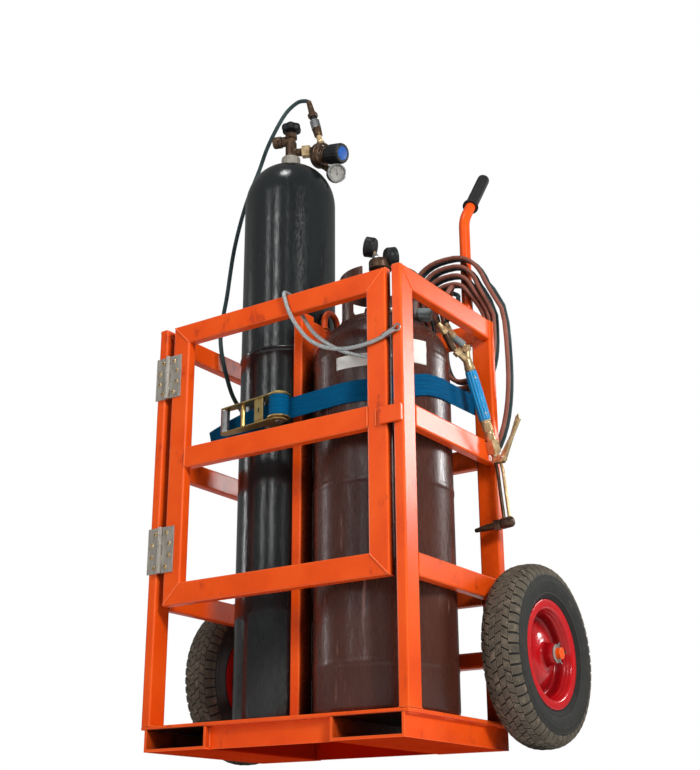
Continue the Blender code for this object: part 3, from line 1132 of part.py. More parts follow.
build_base()
build_cage()
build_lifting_eye()
build_axle()
build_wheels()
build_handles()
build_gate()
build_strap()
build_oxygen()
build_acetylene()
build_acetylene_regulator()
build_torch()
build_hoses()
build_tether()
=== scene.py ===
"""Looks of the gas cylinder cart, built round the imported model.

Shapes are given in cart coordinates, in metres: X to the right, Y to the back from the
frame's front, Z up.
"""
from math import acos, atan2, copysign, cos, degrees, exp, pi, radians, sin, sqrt, tau

import bmesh
import bpy
from mathutils import Matrix, Vector


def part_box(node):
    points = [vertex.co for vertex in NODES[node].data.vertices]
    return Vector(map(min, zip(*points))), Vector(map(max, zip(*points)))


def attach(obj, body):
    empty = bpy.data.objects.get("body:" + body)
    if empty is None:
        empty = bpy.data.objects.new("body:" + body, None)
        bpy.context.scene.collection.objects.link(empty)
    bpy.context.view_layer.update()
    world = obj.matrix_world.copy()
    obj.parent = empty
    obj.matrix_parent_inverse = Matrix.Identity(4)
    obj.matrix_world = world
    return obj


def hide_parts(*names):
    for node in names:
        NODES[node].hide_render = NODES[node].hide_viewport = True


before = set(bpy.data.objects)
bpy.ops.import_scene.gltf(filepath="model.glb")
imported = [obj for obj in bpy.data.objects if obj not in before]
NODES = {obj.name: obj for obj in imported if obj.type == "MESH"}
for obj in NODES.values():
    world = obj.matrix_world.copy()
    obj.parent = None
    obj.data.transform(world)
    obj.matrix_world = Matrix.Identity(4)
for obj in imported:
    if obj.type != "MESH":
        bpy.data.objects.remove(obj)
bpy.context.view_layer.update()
SHIFT = Matrix.Translation((0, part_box("deck_plate")[0].y, 0))
UP = Vector((0, 0, 1))
RIGHT = Vector((1, 0, 0))
SMOOTH_ANGLE = radians(32)
SIDES = (("left", -1), ("right", 1))

# Sizes shared with the part
HALF, DEPTH, TOP = 0.35, 0.424, 1.0
TUBE_WIDE, TUBE_NARROW = 0.05, 0.025
MID_TOP, LOW_TOP, DECK_TOP = 0.686, 0.367, 0.0553
REAR_FRONT = DEPTH - TUBE_NARROW
INNER = HALF - TUBE_NARROW
OXYGEN, OXYGEN_RADIUS = Vector((-0.1318, 0.235, 0)), 0.1175
ACETYLENE, ACETYLENE_RADIUS = Vector((0.1657, 0.205, 0)), 0.158
DOME_Z, DOME_RISE = 0.86, 0.116
WHEEL_X, WHEEL_Z, AXLE_Y = 0.411, 0.2, 0.4418
GAP = 0.0003
POLE = 1e-7

# Finishes: an even grain, and where the edges of metal are rubbed
EVEN = (1, 1, 1)
RUBBED = (0.0012, 0.85, 0.98)
COAT_ROUGHNESS = 0.12


def mm(text):
    """Points in metres from a list in millimetres, such as "0 12, 5 12, 5 0"."""
    return [tuple(float(value) / 1000 for value in row.split()) for row in text.split(",")]


def move(*step):
    return Matrix.Translation(step)


def rotate(axis, angle):
    return Matrix.Rotation(angle, 4, axis)


def put(name, data):
    """New object in the scene."""
    obj = bpy.data.objects.new(name, data)
    bpy.context.scene.collection.objects.link(obj)
    return obj


def mesh_of(name, work):
    """New mesh of a bmesh, which is used up."""
    mesh = bpy.data.meshes.new(name)
    work.to_mesh(mesh)
    work.free()
    return mesh


def linear(tone):
    """Linear colour of an sRGB one given as six hexadecimal digits."""
    def channel(first):
        value = int(tone[first:first + 2], 16) / 255
        return value / 12.92 if value <= 0.04045 else ((value + 0.055) / 1.055) ** 2.4
    return (channel(0), channel(2), channel(4), 1.0)


def new_material(name):
    """Material with its node tree and its shader."""
    material = bpy.data.materials.new(name)
    material.use_nodes = True
    return material, material.node_tree, material.node_tree.nodes["Principled BSDF"]


def add(tree, kind, sockets=None, **settings):
    """New node with its settings; a socket takes a value or a link."""
    node = tree.nodes.new("ShaderNode" + kind)
    for key, value in settings.items():
        setattr(node, key, value)
    for key, value in (sockets or {}).items():
        if isinstance(value, bpy.types.NodeSocket):
            tree.links.new(value, node.inputs[key])
        else:
            node.inputs[key].default_value = value
    return node


def combine(tree, operation, first, second=0.0):
    """Result of a Math node."""
    return add(tree, "Math", {0: first, 1: second}, operation=operation).outputs[0]


def ramp(tree, factor, stops):
    node = add(tree, "ValToRGB", {"Fac": factor})
    elements = node.color_ramp.elements
    while len(elements) < len(stops):
        elements.new(0.5)
    for element, (place, colour) in zip(elements, stops):
        element.position = place
        element.color = colour if hasattr(colour, "__len__") else (colour, colour, colour, 1.0)
    return node.outputs["Color"]


def coordinates(tree, stretch=EVEN, source="Object"):
    place = add(tree, "TexCoord")
    node = add(tree, "Mapping", {"Vector": place.outputs[source], "Scale": stretch})
    return node.outputs["Vector"]


def noise(tree, scale, detail=4.0, stretch=EVEN, source="Object", rough=0.55):
    where = coordinates(tree, stretch, source)
    return add(tree, "TexNoise", {"Vector": where, "Scale": scale, "Detail": detail,
                                  "Roughness": rough}).outputs[0]


def mix(tree, factor, below, above):
    return add(tree, "Mix", {0: factor, 6: below, 7: above}, data_type="RGBA").outputs[2]


def edges(tree, radius, low, high):
    """Mask of the sharp edges of a piece."""
    rounded = add(tree, "Bevel", {"Radius": radius}, samples=4)
    plain = add(tree, "NewGeometry")
    dot = add(tree, "VectorMath", {0: rounded.outputs[0], 1: plain.outputs["Normal"]},
              operation="DOT_PRODUCT")
    return ramp(tree, dot.outputs["Value"], [(low, 1.0), (high, 0.0)])


def hollows(tree, reach, low, high):
    """Share of painted shade: full in deep hollows, none on open faces."""
    open_share = add(tree, "AmbientOcclusion", {"Distance": reach}, samples=8).outputs["AO"]
    return ramp(tree, open_share, [(low, 1.0), (high, 0.0)])


def frame_hollows(tree, reach, low, high):
    """Painted shade of the frame alone: none on its feet, its outer sides or the bay under the
    deck.
    """
    deep = hollows(tree, reach, low, high)
    place = add(tree, "SeparateXYZ", {0: add(tree, "NewGeometry").outputs["Position"]})
    height, aside = place.outputs["Z"], combine(tree, "ABSOLUTE", place.outputs["X"])

    def rise(value, start, end, first=0.0, last=1.0):
        return add(tree, "MapRange", {"Value": value, "From Min": start, "From Max": end,
                                      "To Min": first, "To Max": last}).outputs[0]

    off_ground = rise(height, 0.002, 0.005)
    open_bay = combine(tree, "MAXIMUM", rise(height, 0.048, 0.05), rise(aside, 0.16, 0.164))
    within = rise(aside, 0.336, 0.3375, 1.0, 0.0)
    for mask in (off_ground, open_bay, within):
        deep = combine(tree, "MULTIPLY", deep, mask)
    return deep


def surface(name, tones, rough=(0.4, 0.55), metallic=0.0, grain=40, stretch=EVEN,
            bump=(400, 0.1, 0.0005), wear=(), edge=None, painted_shade=None, coat=0.0, gloss=0.3,
            source="Object", height=None):
    """Procedural finish: tones on a broad noise, worn patches, rubbed edges, painted shade in
    hollows, a rough fine grain.

    Each worn patch has a tone, a scale, the noise where it starts and is full, and where
    needed its own stretch.
    """
    material, tree, shader = new_material(name)
    for socket, value in (("Metallic", metallic), ("Coat Weight", coat),
                          ("Coat Roughness", COAT_ROUGHNESS), ("Specular IOR Level", gloss)):
        shader.inputs[socket].default_value = value
    tones = [linear(tone) for tone in tones.split()]
    step = 1.0 / max(1, len(tones) - 1)
    stops = [(0.25 + 0.5 * i * step, tone) for i, tone in enumerate(tones)]
    colour = ramp(tree, noise(tree, grain, 5.0, stretch, source), stops)
    for tone, scale, low, high, *drawn in wear:
        spots = noise(tree, scale, 8.0, drawn[0] if drawn else EVEN, source, 0.65)
        patch = ramp(tree, spots, [(low, 0.0), (high, 1.0)])
        colour = mix(tree, patch, colour, linear(tone))
    if edge:
        tone, radius, low, high = edge
        colour = mix(tree, edges(tree, radius, low, high), colour, linear(tone))
    # Painted shade: a darker tone wherever ambient occlusion finds hollows.
    if painted_shade:
        share, tone, reach, low, high = painted_shade
        colour = mix(tree, share(tree, reach, low, high), colour, linear(tone))
    tree.links.new(colour, shader.inputs["Base Color"])
    fine = noise(tree, bump[0], 3.0, stretch, source)
    tree.links.new(ramp(tree, fine, [(0.3, rough[0]), (0.7, rough[1])]),
                   shader.inputs["Roughness"])
    relief = add(tree, "Bump", {"Height": height(tree) if height else fine, "Strength": bump[1],
                                "Distance": bump[2]})
    tree.links.new(relief.outputs[0], shader.inputs["Normal"])
    return material


def ribbing(along, across):
    """Relief of ribs along a piece and slanting threads, each a scale and a distortion."""
    def height(tree):
        where = coordinates(tree, source="UV")
        bands = []
        for way, (scale, bend) in (("Y", along), ("DIAGONAL", across)):
            wave = add(tree, "TexWave", {"Vector": where, "Scale": scale, "Distortion": bend},
                       bands_direction=way)
            bands.append(wave.outputs[1])
        return combine(tree, "ADD", *bands)
    return height


WEAVE = ribbing((95.0, 0.4), (160.0, 0.6))
HOSE_COVER = ribbing((4.0, 0.3), (60.0, 0.5))
# The frame's painted shade darkens its hollows, such as the insides of the fork pockets.
ORANGE = surface("orange_paint", "de480c ec5210 f25c18", (0.2, 0.34), grain=9,
                 bump=(520, 0.16, 0.0004), gloss=0.28,
                 wear=[("c43e14", 26, 0.6, 0.7, (1, 1, 0.5)), ("783e28", 150, 0.735, 0.76)],
                 edge=("f7804a", 0.0025, 0.9, 0.985),
                 painted_shade=(frame_hollows, "2e160e", 0.12, 0.22, 0.5))
# The rims' painted shade darkens the well of each rim.
RED = surface("red_enamel", "b80a12 cc0e16", (0.14, 0.26), coat=0.1, gloss=0.35,
              bump=(260, 0.06, 0.0004), wear=[("960e10", 60, 0.7, 0.74)],
              painted_shade=(hollows, "60050a", 0.09, 0.3, 0.92))
ZINC = surface("zinc_plate", "8c867c bab4aa", (0.32, 0.5), 0.4, grain=120, stretch=(1, 1, 0.2),
               bump=(700, 0.15, 0.0003), wear=[("767064", 70, 0.6, 0.68)],
               edge=("d6d6ce", *RUBBED))
TYRE = surface("tyre_rubber", "1b1c1a 262623", (0.55, 0.78), bump=(600, 0.25, 0.0006),
               wear=[("4a463d", 45, 0.6, 0.74)], edge=("58544a", 0.0015, 0.75, 0.96))
TREAD = surface("tread_rubber", "3e3932 645c4f", (0.7, 0.9), bump=(600, 0.25, 0.0006),
                wear=[("766b5c", 60, 0.54, 0.68)], edge=("847868", 0.002, 0.72, 0.96))
GRIP = surface("grip_rubber", "1a1a1b 262627", (0.45, 0.62), bump=(900, 0.2, 0.0003),
               wear=[("464644", 80, 0.66, 0.74)])
WEBBING = surface("blue_webbing", "00466e 005884 026696", (0.72, 0.88), grain=60,
                  stretch=(0.3, 1, 1), bump=(300, 0.55, 0.0007), gloss=0.08, source="UV",
                  height=WEAVE, wear=[("003a68", 90, 0.58, 0.7, (0.4, 1, 1))])
SEAM = surface("seam_thread", "003c68 024e82", (0.7, 0.85), bump=(900, 0.3, 0.0003))
YELLOW_ZINC = surface("yellow_zinc", "96804e baa05c c4b080", (0.25, 0.42), 0.85, grain=55,
                      bump=(600, 0.12, 0.0003), wear=[("846854", 38, 0.58, 0.7)],
                      edge=("d6ccaa", *RUBBED))
OXYGEN_PAINT = surface("black_paint", "101315 181c1d 222627", (0.1, 0.27), grain=11,
                       stretch=(1, 1, 0.25), bump=(230, 0.34, 0.0008), gloss=0.6,
                       wear=[("363c3e", 34, 0.6, 0.7, (1, 1, 0.12)),
                             ("686c6a", 150, 0.69, 0.73, (1, 1, 0.5)),
                             ("423226", 22, 0.68, 0.76, (1, 1, 0.5))])
ACETYLENE_PAINT = surface("maroon_paint", "361c16 44251d 543026", (0.2, 0.38), grain=9,
                          stretch=(1, 1, 0.2), bump=(200, 0.28, 0.0008), gloss=0.4,
                          wear=[("8a6258", 46, 0.63, 0.7, (1, 1, 0.1)),
                                ("b2968c", 130, 0.72, 0.75, (1, 1, 0.22)),
                                ("381e1a", 16, 0.6, 0.72, (1, 1, 0.35))])
BRASS = surface("brass", "9c805a c8ac80 e4cfa4", (0.2, 0.36), 0.65, grain=70,
                bump=(800, 0.14, 0.0003), wear=[("5c422c", 110, 0.62, 0.7)],
                edge=("e8d0a4", *RUBBED))
OLD_BRASS = surface("old_brass", "3e3028 5a4638 745c48", (0.3, 0.48), 0.75, grain=60,
                    bump=(700, 0.25, 0.0004), wear=[("342822", 70, 0.56, 0.66)],
                    edge=("967a60", *RUBBED))
STEEL = surface("bright_steel", "96989a c4c6c6", (0.22, 0.36), 0.95, grain=120,
                bump=(900, 0.1, 0.0002), wear=[("6e6862", 80, 0.62, 0.7)])
BLACK_PLASTIC = surface("black_plastic", "141517 202123", (0.34, 0.5), bump=(900, 0.18, 0.0003),
                        wear=[("484a4a", 90, 0.68, 0.76)], edge=("46484a", 0.0015, 0.85, 0.98))
GREY_PLASTIC = surface("grey_plastic", "707a7c 848e8e", (0.42, 0.55), bump=(800, 0.15, 0.0003),
                       wear=[("5c6262", 60, 0.62, 0.72)], edge=("aab0b0", *RUBBED))
BLUE_PLASTIC = surface("blue_plastic", "0a4696 165cb0", (0.35, 0.5), bump=(700, 0.15, 0.0003),
                       wear=[("5a8cc4", 90, 0.66, 0.74)])
TORCH_BLUE = surface("torch_blue", "007cb6 0892cc", (0.3, 0.45), coat=0.1,
                     bump=(600, 0.15, 0.0003), wear=[("aac4d0", 110, 0.64, 0.7, (1, 1, 0.3))],
                     edge=("cedce0", 0.0018, 0.86, 0.97))
FUEL_HOSE = surface("fuel_hose_rubber", "704236 885244 986454", (0.46, 0.62), grain=14,
                    bump=(300, 0.25, 0.0004), height=HOSE_COVER, wear=[("9a7668", 60, 0.64, 0.74)])
OXYGEN_HOSE = surface("oxygen_hose_rubber", "1c2a2d 2a3c3e 3e5050", (0.46, 0.62), grain=14,
                      bump=(300, 0.25, 0.0004), height=HOSE_COVER,
                      wear=[("687874", 60, 0.64, 0.74)])
WIRE_ROPE = surface("wire_rope_strands", "969e9e c4cac8", (0.28, 0.42), 0.6, grain=200,
                    bump=(900, 0.2, 0.0003), wear=[("707474", 120, 0.6, 0.7)])
DIAL = surface("dial_face", "c4c2ba d6d4cc", (0.4, 0.5), bump=(500, 0.05, 0.0002),
               wear=[("96928a", 90, 0.6, 0.74)])
INK = surface("dial_ink", "121212 1e1e1e", (0.45, 0.6), bump=(500, 0.05, 0.0002))
PAPER = surface("blank_label", "d6d6d0 ecece6", (0.5, 0.65), grain=24, bump=(500, 0.1, 0.0003),
                wear=[("a89688", 44, 0.62, 0.72)])


def clear_window():
    """Clear pane over a dial."""
    material, tree, shader = new_material("clear_pane")
    shader.inputs["Transmission Weight"].default_value = 1.0
    shader.inputs["IOR"].default_value = 1.2
    dust = noise(tree, 300.0, 3.0)
    tree.links.new(ramp(tree, dust, [(0.3, 0.02), (0.7, 0.1)]), shader.inputs["Roughness"])
    return material


PANE = clear_window()


def frame_at(origin, axis):
    """Placement whose own Z runs along an axis."""
    return move(*origin) @ Vector(axis).to_track_quat("Z", "Y").to_matrix().to_4x4()


def arc(centre, radius, start, end, count):
    """Points of an arc between two angles in degrees."""
    angles = [radians(start + (end - start) * i / (count - 1)) for i in range(count)]
    return [(centre[0] + radius * cos(a), centre[1] + radius * sin(a)) for a in angles]


def circle(radius, count):
    return arc((0, 0), radius, 0, 360 - 360 / count, count)


def ring_angles(count):
    """Angles of a whole turn, with the first again at its end."""
    return [tau * i / count for i in range(count + 1)]


def smooth_line(points, per=12):
    """Close points on a smooth curve through the given ones."""
    knots = [Vector(p) for p in points]
    knots = [2 * knots[0] - knots[1]] + knots + [2 * knots[-1] - knots[-2]]
    line = []
    for before, start, end, after in zip(knots, knots[1:], knots[2:], knots[3:]):
        for i in range(per):
            t = i / per
            curve = 2 * start + (end - before) * t
            curve += (2 * before - 5 * start + 4 * end - after) * t ** 2
            curve += (3 * start - before - 3 * end + after) * t ** 3
            line.append(0.5 * curve)
    return line + [knots[-2]]


def even_route(points, step):
    """Points every step along the smooth curve, as the part has them."""
    dense = smooth_line(points, 20)
    total = sum((b - a).length for a, b in zip(dense, dense[1:]))
    count = max(2, round(total / step))
    route = [dense[0]]
    travelled = 0.0
    for a, b in zip(dense, dense[1:]):
        travelled += (b - a).length
        while len(route) < count and travelled >= len(route) * total / count:
            route.append(b)
    return route + [dense[-1]]


def length_of(points):
    return sum((Vector(b) - Vector(a)).length for a, b in zip(points, points[1:]))


class Piece:
    """One visible piece, made of turned, swept and flat shapes in cart coordinates."""

    def __init__(self, name, *materials):
        self.name = name
        self.materials = materials
        self.work = bmesh.new()
        self.uv = self.work.loops.layers.uv.new("UVMap")

    def face(self, verts, slot, uvs=None):
        face = self.work.faces.new(verts)
        face.material_index = slot
        face.smooth = True
        if uvs:
            for loop, uv in zip(face.loops, uvs):
                loop[self.uv].uv = uv
        return face

    def lathe(self, profile, place=Matrix.Identity(4), steps=48, slot=0, closed=False, wave=None):
        """Turned shape; its profile of (radius, height) runs from top to bottom.

        A wave scales each angle's radius.
        """
        rings = []
        for radius, height in profile:
            if radius < POLE:
                rings.append([self.work.verts.new(place @ Vector((0, 0, height)))] * steps)
                continue
            ring = []
            for i in range(steps):
                a = tau * i / steps
                r = radius * (wave(a) if wave else 1.0)
                ring.append(self.work.verts.new(place @ Vector((r * cos(a), r * sin(a), height))))
            rings.append(ring)
        along = 0.0
        for upper, lower in zip(rings, rings[1:] + (rings[:1] if closed else [])):
            start, along = along, along + (upper[0].co - lower[0].co).length
            for i in range(steps):
                j = (i + 1) % steps
                u, v = i / steps, (i + 1) / steps
                corners = {}
                for vert, uv in ((upper[i], (u, start)), (lower[i], (u, along)),
                                 (lower[j], (v, along)), (upper[j], (v, start))):
                    corners.setdefault(vert, uv)
                if len(corners) > 2:
                    self.face(list(corners), slot, corners.values())
        return self

    def turned(self, line, place=Matrix.Identity(4), steps=48, slot=0, wave=None):
        """Turned solid; its profile, or the text of one, is closed to the axis at both ends."""
        line = mm(line) if isinstance(line, str) else line
        top, foot = ([(0, height)] if radius else [] for radius, height in (line[0], line[-1]))
        return self.lathe(top + line + foot, place, steps, slot, wave=wave)

    def sweep(self, path, section, slot=0, side=None, caps=True, twist=0.0, grow=None):
        """Section of (across, up) swept along a path.

        The side fixes the section's first axis, and twist is in radians a metre.
        """
        path = [Vector(p) for p in path]
        rings = []
        across = None
        travelled = 0.0
        for i, point in enumerate(path):
            ahead = path[min(i + 1, len(path) - 1)] - path[max(i - 1, 0)]
            ahead.normalize()
            if side is not None:
                across = Vector(side) - ahead * ahead.dot(Vector(side))
            elif across is None:
                across = ahead.orthogonal()
            else:
                across = across - ahead * ahead.dot(across)
            across.normalize()
            up = ahead.cross(across)
            if i:
                travelled += (point - path[i - 1]).length
            spin = twist * travelled
            c, s = cos(spin), sin(spin)
            size = grow(i / (len(path) - 1)) if grow else 1.0
            outline = [(size * (x * c - y * s), size * (x * s + y * c)) for x, y in section]
            ring = [self.work.verts.new(point + across * x + up * y) for x, y in outline]
            rings.append((ring, travelled))
        count = len(section)
        for (first, a), (second, b) in zip(rings, rings[1:]):
            for k in range(count):
                m = (k + 1) % count
                self.face((first[k], first[m], second[m], second[k]), slot,
                          ((a, k / count), (a, (k + 1) / count), (b, (k + 1) / count),
                           (b, k / count)))
        if caps:
            self.face(list(reversed(rings[0][0])), slot)
            self.face(rings[-1][0], slot)
        return self

    def slab(self, points, thickness, place=Matrix.Identity(4), slot=0):
        """Plate of an outline in its own XY plane, half its thickness to each side."""
        low = [self.work.verts.new(place @ Vector((x, y, -thickness / 2))) for x, y in points]
        high = [self.work.verts.new(place @ Vector((x, y, thickness / 2))) for x, y in points]
        self.face(list(reversed(low)), slot)
        self.face(high, slot)
        for i in range(len(points)):
            j = (i + 1) % len(points)
            self.face((low[i], low[j], high[j], high[i]), slot)
        return self

    def block(self, size, place=Matrix.Identity(4), slot=0):
        x, y, z = (value / 2 for value in size)
        return self.slab([(-x, -y), (x, -y), (x, y), (-x, y)], 2 * z, place, slot)

    def bead(self, path, radius=0.0026, slot=0, pitch=0.0034):
        """Weld run with its ripples."""
        total = length_of(path)
        count = max(6, int(total / pitch * 3))
        line = [Vector(path[0])]
        for a, b in zip(path, path[1:]):
            a, b = Vector(a), Vector(b)
            part = max(2, int(count * (b - a).length / total))
            line += [a.lerp(b, (i + 1) / part) for i in range(part)]

        def ripple(share):
            return 0.9 + 0.13 * sin(tau * share * total / pitch)

        return self.sweep(line, circle(radius, 8), slot, grow=ripple)

    def done(self, body, slot=None, replaces=(), bevel=0.0, segments=2, angle=SMOOTH_ANGLE):
        bmesh.ops.recalc_face_normals(self.work, faces=self.work.faces)
        bmesh.ops.transform(self.work, matrix=SHIFT, verts=self.work.verts)
        for edge in self.work.edges:
            if len(edge.link_faces) == 2 and edge.calc_face_angle(0.0) > angle:
                edge.smooth = False
        mesh = mesh_of(self.name, self.work)
        for material in self.materials:
            mesh.materials.append(material)
        obj = put(self.name, mesh)
        if bevel:
            add_bevel(obj, bevel, segments)
        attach(obj, body)
        if replaces:
            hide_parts(*replaces)
        return obj


def add_bevel(obj, width, segments=2):
    bevel = obj.modifiers.new("soft_edge", "BEVEL")
    bevel.width = width
    bevel.segments = segments
    bevel.limit_method = "ANGLE"
    bevel.angle_limit = radians(40)
    bevel.harden_normals = True


def point(*place):
    """World place of a point in cart coordinates."""
    return SHIFT @ Vector(place)


def carry(names, material, bevel=0.0):
    """Give CAD nodes their finish and, where they are welded plate or tube, softer edges."""
    for name in names:
        obj = NODES[name]
        obj.data.materials.clear()
        obj.data.materials.append(material)
        join = obj.modifiers.new("join", "WELD")
        join.merge_threshold = 0.00002
        if bevel:
            add_bevel(obj, bevel)


PLATES = ["deck_plate", "left_fork_pocket", "right_fork_pocket", "front_base_panel",
          "rear_base_panel", "axle", "lifting_eye", "gate_stop_tab"]
TUBES = [end + "_" + side + "_post" for end in ("front", "rear") for side in ("left", "right")]
TUBES += [side + "_" + height + "_rail" for side in ("left", "right", "rear")
          for height in ("top", "mid", "low")]
GATE_BARS = ("hinge_stile", "latch_stile", "top_rail", "mid_rail", "bottom_rail")
TUBES += ["divider_post"] + ["gate_" + bar for bar in GATE_BARS]
LEAVES = [height + "_hinge_" + half + "_leaf" for height in ("upper", "lower")
          for half in ("post", "gate")]
carry(PLATES, ORANGE, 0.0008)
carry(TUBES, ORANGE)
carry(LEAVES, ZINC, 0.0003)

# Camera
CAMERA = Vector((1.717, -2.1982, -0.2267))
YAW, PITCH = radians(35.12), radians(20.95)
IMAGE_WIDTH, IMAGE_HEIGHT, FOCAL = 700, 770, 1306.2
CENTRE_X, CENTRE_Y = 333.2, 363.2
SENSOR = 36.0
# Stage
ROOM_LIGHT, FLOOR_GLOW = 0.21, 0.34
FLOOR_HALF, FLOOR_DROP = 150.0, 0.0006


def build_camera():
    data = bpy.data.cameras.new("camera")
    data.sensor_fit = "HORIZONTAL"
    data.sensor_width = SENSOR
    data.lens = FOCAL * SENSOR / IMAGE_WIDTH
    data.shift_x = (IMAGE_WIDTH / 2 - CENTRE_X) / IMAGE_WIDTH
    data.shift_y = -(IMAGE_HEIGHT / 2 - CENTRE_Y) / IMAGE_WIDTH
    camera = put("camera", data)
    forward = Vector((-sin(YAW) * cos(PITCH), cos(YAW) * cos(PITCH), sin(PITCH)))
    right = Vector((cos(YAW), sin(YAW), 0))
    up = right.cross(forward)
    turn = Matrix((right, up, -forward)).transposed().to_4x4()
    camera.matrix_world = SHIFT @ move(*CAMERA) @ turn
    bpy.context.scene.camera = camera


def lamp(name, place, target, size, energy, height=None, sheen=True):
    """Area lamp; height makes it an upright strip, and without sheen no gloss shows it."""
    data = bpy.data.lights.new(name, "AREA")
    data.shape = "RECTANGLE"
    data.size = size
    data.size_y = height or size
    data.energy = energy
    obj = put(name, data)
    obj.location = place
    obj.rotation_euler = (Vector(target) - Vector(place)).to_track_quat("-Z", "Y").to_euler()
    obj.visible_glossy = sheen


def build_stage():
    scene = bpy.context.scene
    scene.view_settings.view_transform = "Standard"
    world = bpy.data.worlds.new("studio")
    scene.world = world
    world.use_nodes = True
    tree = world.node_tree
    path = add(tree, "LightPath")
    shown = combine(tree, "MAXIMUM", path.outputs["Is Camera Ray"],
                    path.outputs["Is Transmission Ray"])
    level = add(tree, "MapRange", {"Value": shown, "To Min": ROOM_LIGHT, "To Max": 1.0})
    tree.links.new(level.outputs[0], tree.nodes["Background"].inputs["Strength"])
    tree.nodes["Background"].inputs["Color"].default_value = (1, 1, 1, 1)
    material, tree, shader = new_material("pale_floor")
    shader.inputs["Base Color"].default_value = (0.82, 0.82, 0.81, 1)
    shader.inputs["Roughness"].default_value = 0.9
    below = add(tree, "NewGeometry").outputs["Backfacing"]
    path = add(tree, "LightPath")
    open_side = combine(tree, "MAXIMUM", below, path.outputs["Is Shadow Ray"])
    through = add(tree, "BsdfTransparent")
    tree.links.new(path.outputs["Is Camera Ray"], shader.inputs["Emission Strength"])
    shader.inputs["Emission Color"].default_value = (FLOOR_GLOW, FLOOR_GLOW, FLOOR_GLOW, 1)
    blend = add(tree, "MixShader", {0: open_side, 1: shader.outputs[0], 2: through.outputs[0]})
    tree.links.new(blend.outputs[0], tree.nodes["Material Output"].inputs["Surface"])
    work = bmesh.new()
    bmesh.ops.create_grid(work, x_segments=1, y_segments=1, size=FLOOR_HALF)
    bmesh.ops.translate(work, vec=(0, 0, -FLOOR_DROP), verts=work.verts)
    mesh = mesh_of("floor", work)
    mesh.materials.append(material)
    floor = put("floor", mesh)
    lamp("key_lamp", (4.0, -2.2, 2.5), (0, 0, 0.7), 1.4, 105, sheen=False)
    lamp("key_spark", (4.0, -2.2, 2.5), (0, 0, 0.7), 0.6, 80)
    lamp("front_lamp", (0.15, -4.4, 2.4), (0, 0, 0.7), 0.3, 20, 2.4)
    lamp("near_strip", (2.0, -3.7, 2.2), (0, 0, 0.8), 0.2, 3, 2.4)
    lamp("left_strip", (-1.45, -4.0, 2.2), (0, 0, 0.8), 0.2, 12, 2.4)
    lamp("fill_lamp", (-3.9, -1.2, 1.8), (0, 0, 0.8), 0.3, 16, 2.0)
    lamp("high_lamp", (0.1, -1.3, 4.4), (-0.1, 0.2, 1.4), 0.7, 22)
    lamp("back_lamp", (2.5, 3.1, 1.98), (0.2, 0, 0.7), 0.85, 48)
    lamp("low_lamp", (0.2, 0.1, -2.6), (0, 0, 0.3), 2.0, 17)


build_camera()
build_stage()

# Hoses and tether, on the part's own routes
HOSE = 0.011
HOSE_LAY = 0.0155
COIL_TURNS, COIL_STEPS = 4.2, 48
COIL_LEFT, COIL_RIGHT = (0.128, 0.206), (0.363, 0.313)
COIL_TOP, COIL_BOTTOM = (1.185, 1.085), (0.808, 0.88)
COIL_EDGES = (COIL_LEFT, COIL_RIGHT, COIL_TOP, COIL_BOTTOM)
COIL_SQUARENESS = 2.6
LONG_DROP, LONG_REACH, LONG_SHARE, LONG_SPREAD = 0.17, 0.04, 0.187, 0.082
DRAPE_FORWARD, DRAPE_START, DRAPE_LENGTH = 0.058, 0.025, 0.065
STRAP_THICKNESS = 0.0025
COIL_BACK = DEPTH + GAP + HOSE / 2 + STRAP_THICKNESS + 2 * GAP


def drape(z, lay):
    """Where a coil lies at a height: down the back of the frame, and leaning over its top rail."""
    t = min(1.0, max(0.0, (z - TOP - DRAPE_START) / DRAPE_LENGTH))
    y = COIL_BACK - DRAPE_FORWARD * t * t * (3 - 2 * t)
    slope = -DRAPE_FORWARD * 6 * t * (1 - t) / DRAPE_LENGTH
    normal = Vector((1, -slope)).normalized()
    return y + lay * normal[0], z + lay * normal[1]


def power(value, exponent):
    """Power that keeps the sign."""
    return copysign(abs(value) ** exponent, value)


def coil_route(lay):
    """Turns of one hose in the coil, with the long loop that hangs lower than the rest."""
    points = []
    count = round(COIL_TURNS * COIL_STEPS)
    for i in range(count + 1):
        share = i / count
        left, right, top, bottom = (a + (b - a) * share for a, b in COIL_EDGES)
        long_loop = exp(-((share - LONG_SHARE) / LONG_SPREAD) ** 2)
        right += LONG_REACH * long_loop
        bottom -= LONG_DROP * long_loop
        angle = pi - tau * COIL_TURNS * share
        x = (left + right) / 2 + (right - left) / 2 * power(cos(angle), 2 / COIL_SQUARENESS)
        z = (top + bottom) / 2 + (top - bottom) / 2 * power(sin(angle), 2 / COIL_SQUARENESS)
        y, z = drape(z, lay)
        points.append(Vector((x, y, z)))
    return [points[0] - UP * HOSE] + points + [points[-1] + RIGHT * HOSE]


def hose_curve(name, route, material, node):
    """Run of hose as a curve."""
    curve = bpy.data.curves.new(name, "CURVE")
    curve.dimensions = "3D"
    curve.bevel_depth = HOSE / 2
    curve.bevel_resolution = 4
    curve.use_fill_caps = True
    spline = curve.splines.new("POLY")
    spline.points.add(len(route) - 1)
    for knot, place in zip(spline.points, route):
        knot.co = (*point(*place), 1.0)
    spline.use_smooth = True
    curve.materials.append(material)
    obj = put(name, curve)
    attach(obj, "cart")
    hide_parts(node)
    point(*route[0])
    length_of(route)


def hose_route(start, leave, points, end, arrive):
    """Smooth route of a hose, straight for a diameter where it leaves and where it arrives."""
    first, last = start + leave * HOSE, end - arrive * HOSE
    return [start] + smooth_line([first] + [Vector(p) for p in points] + [last], 8) + [end]


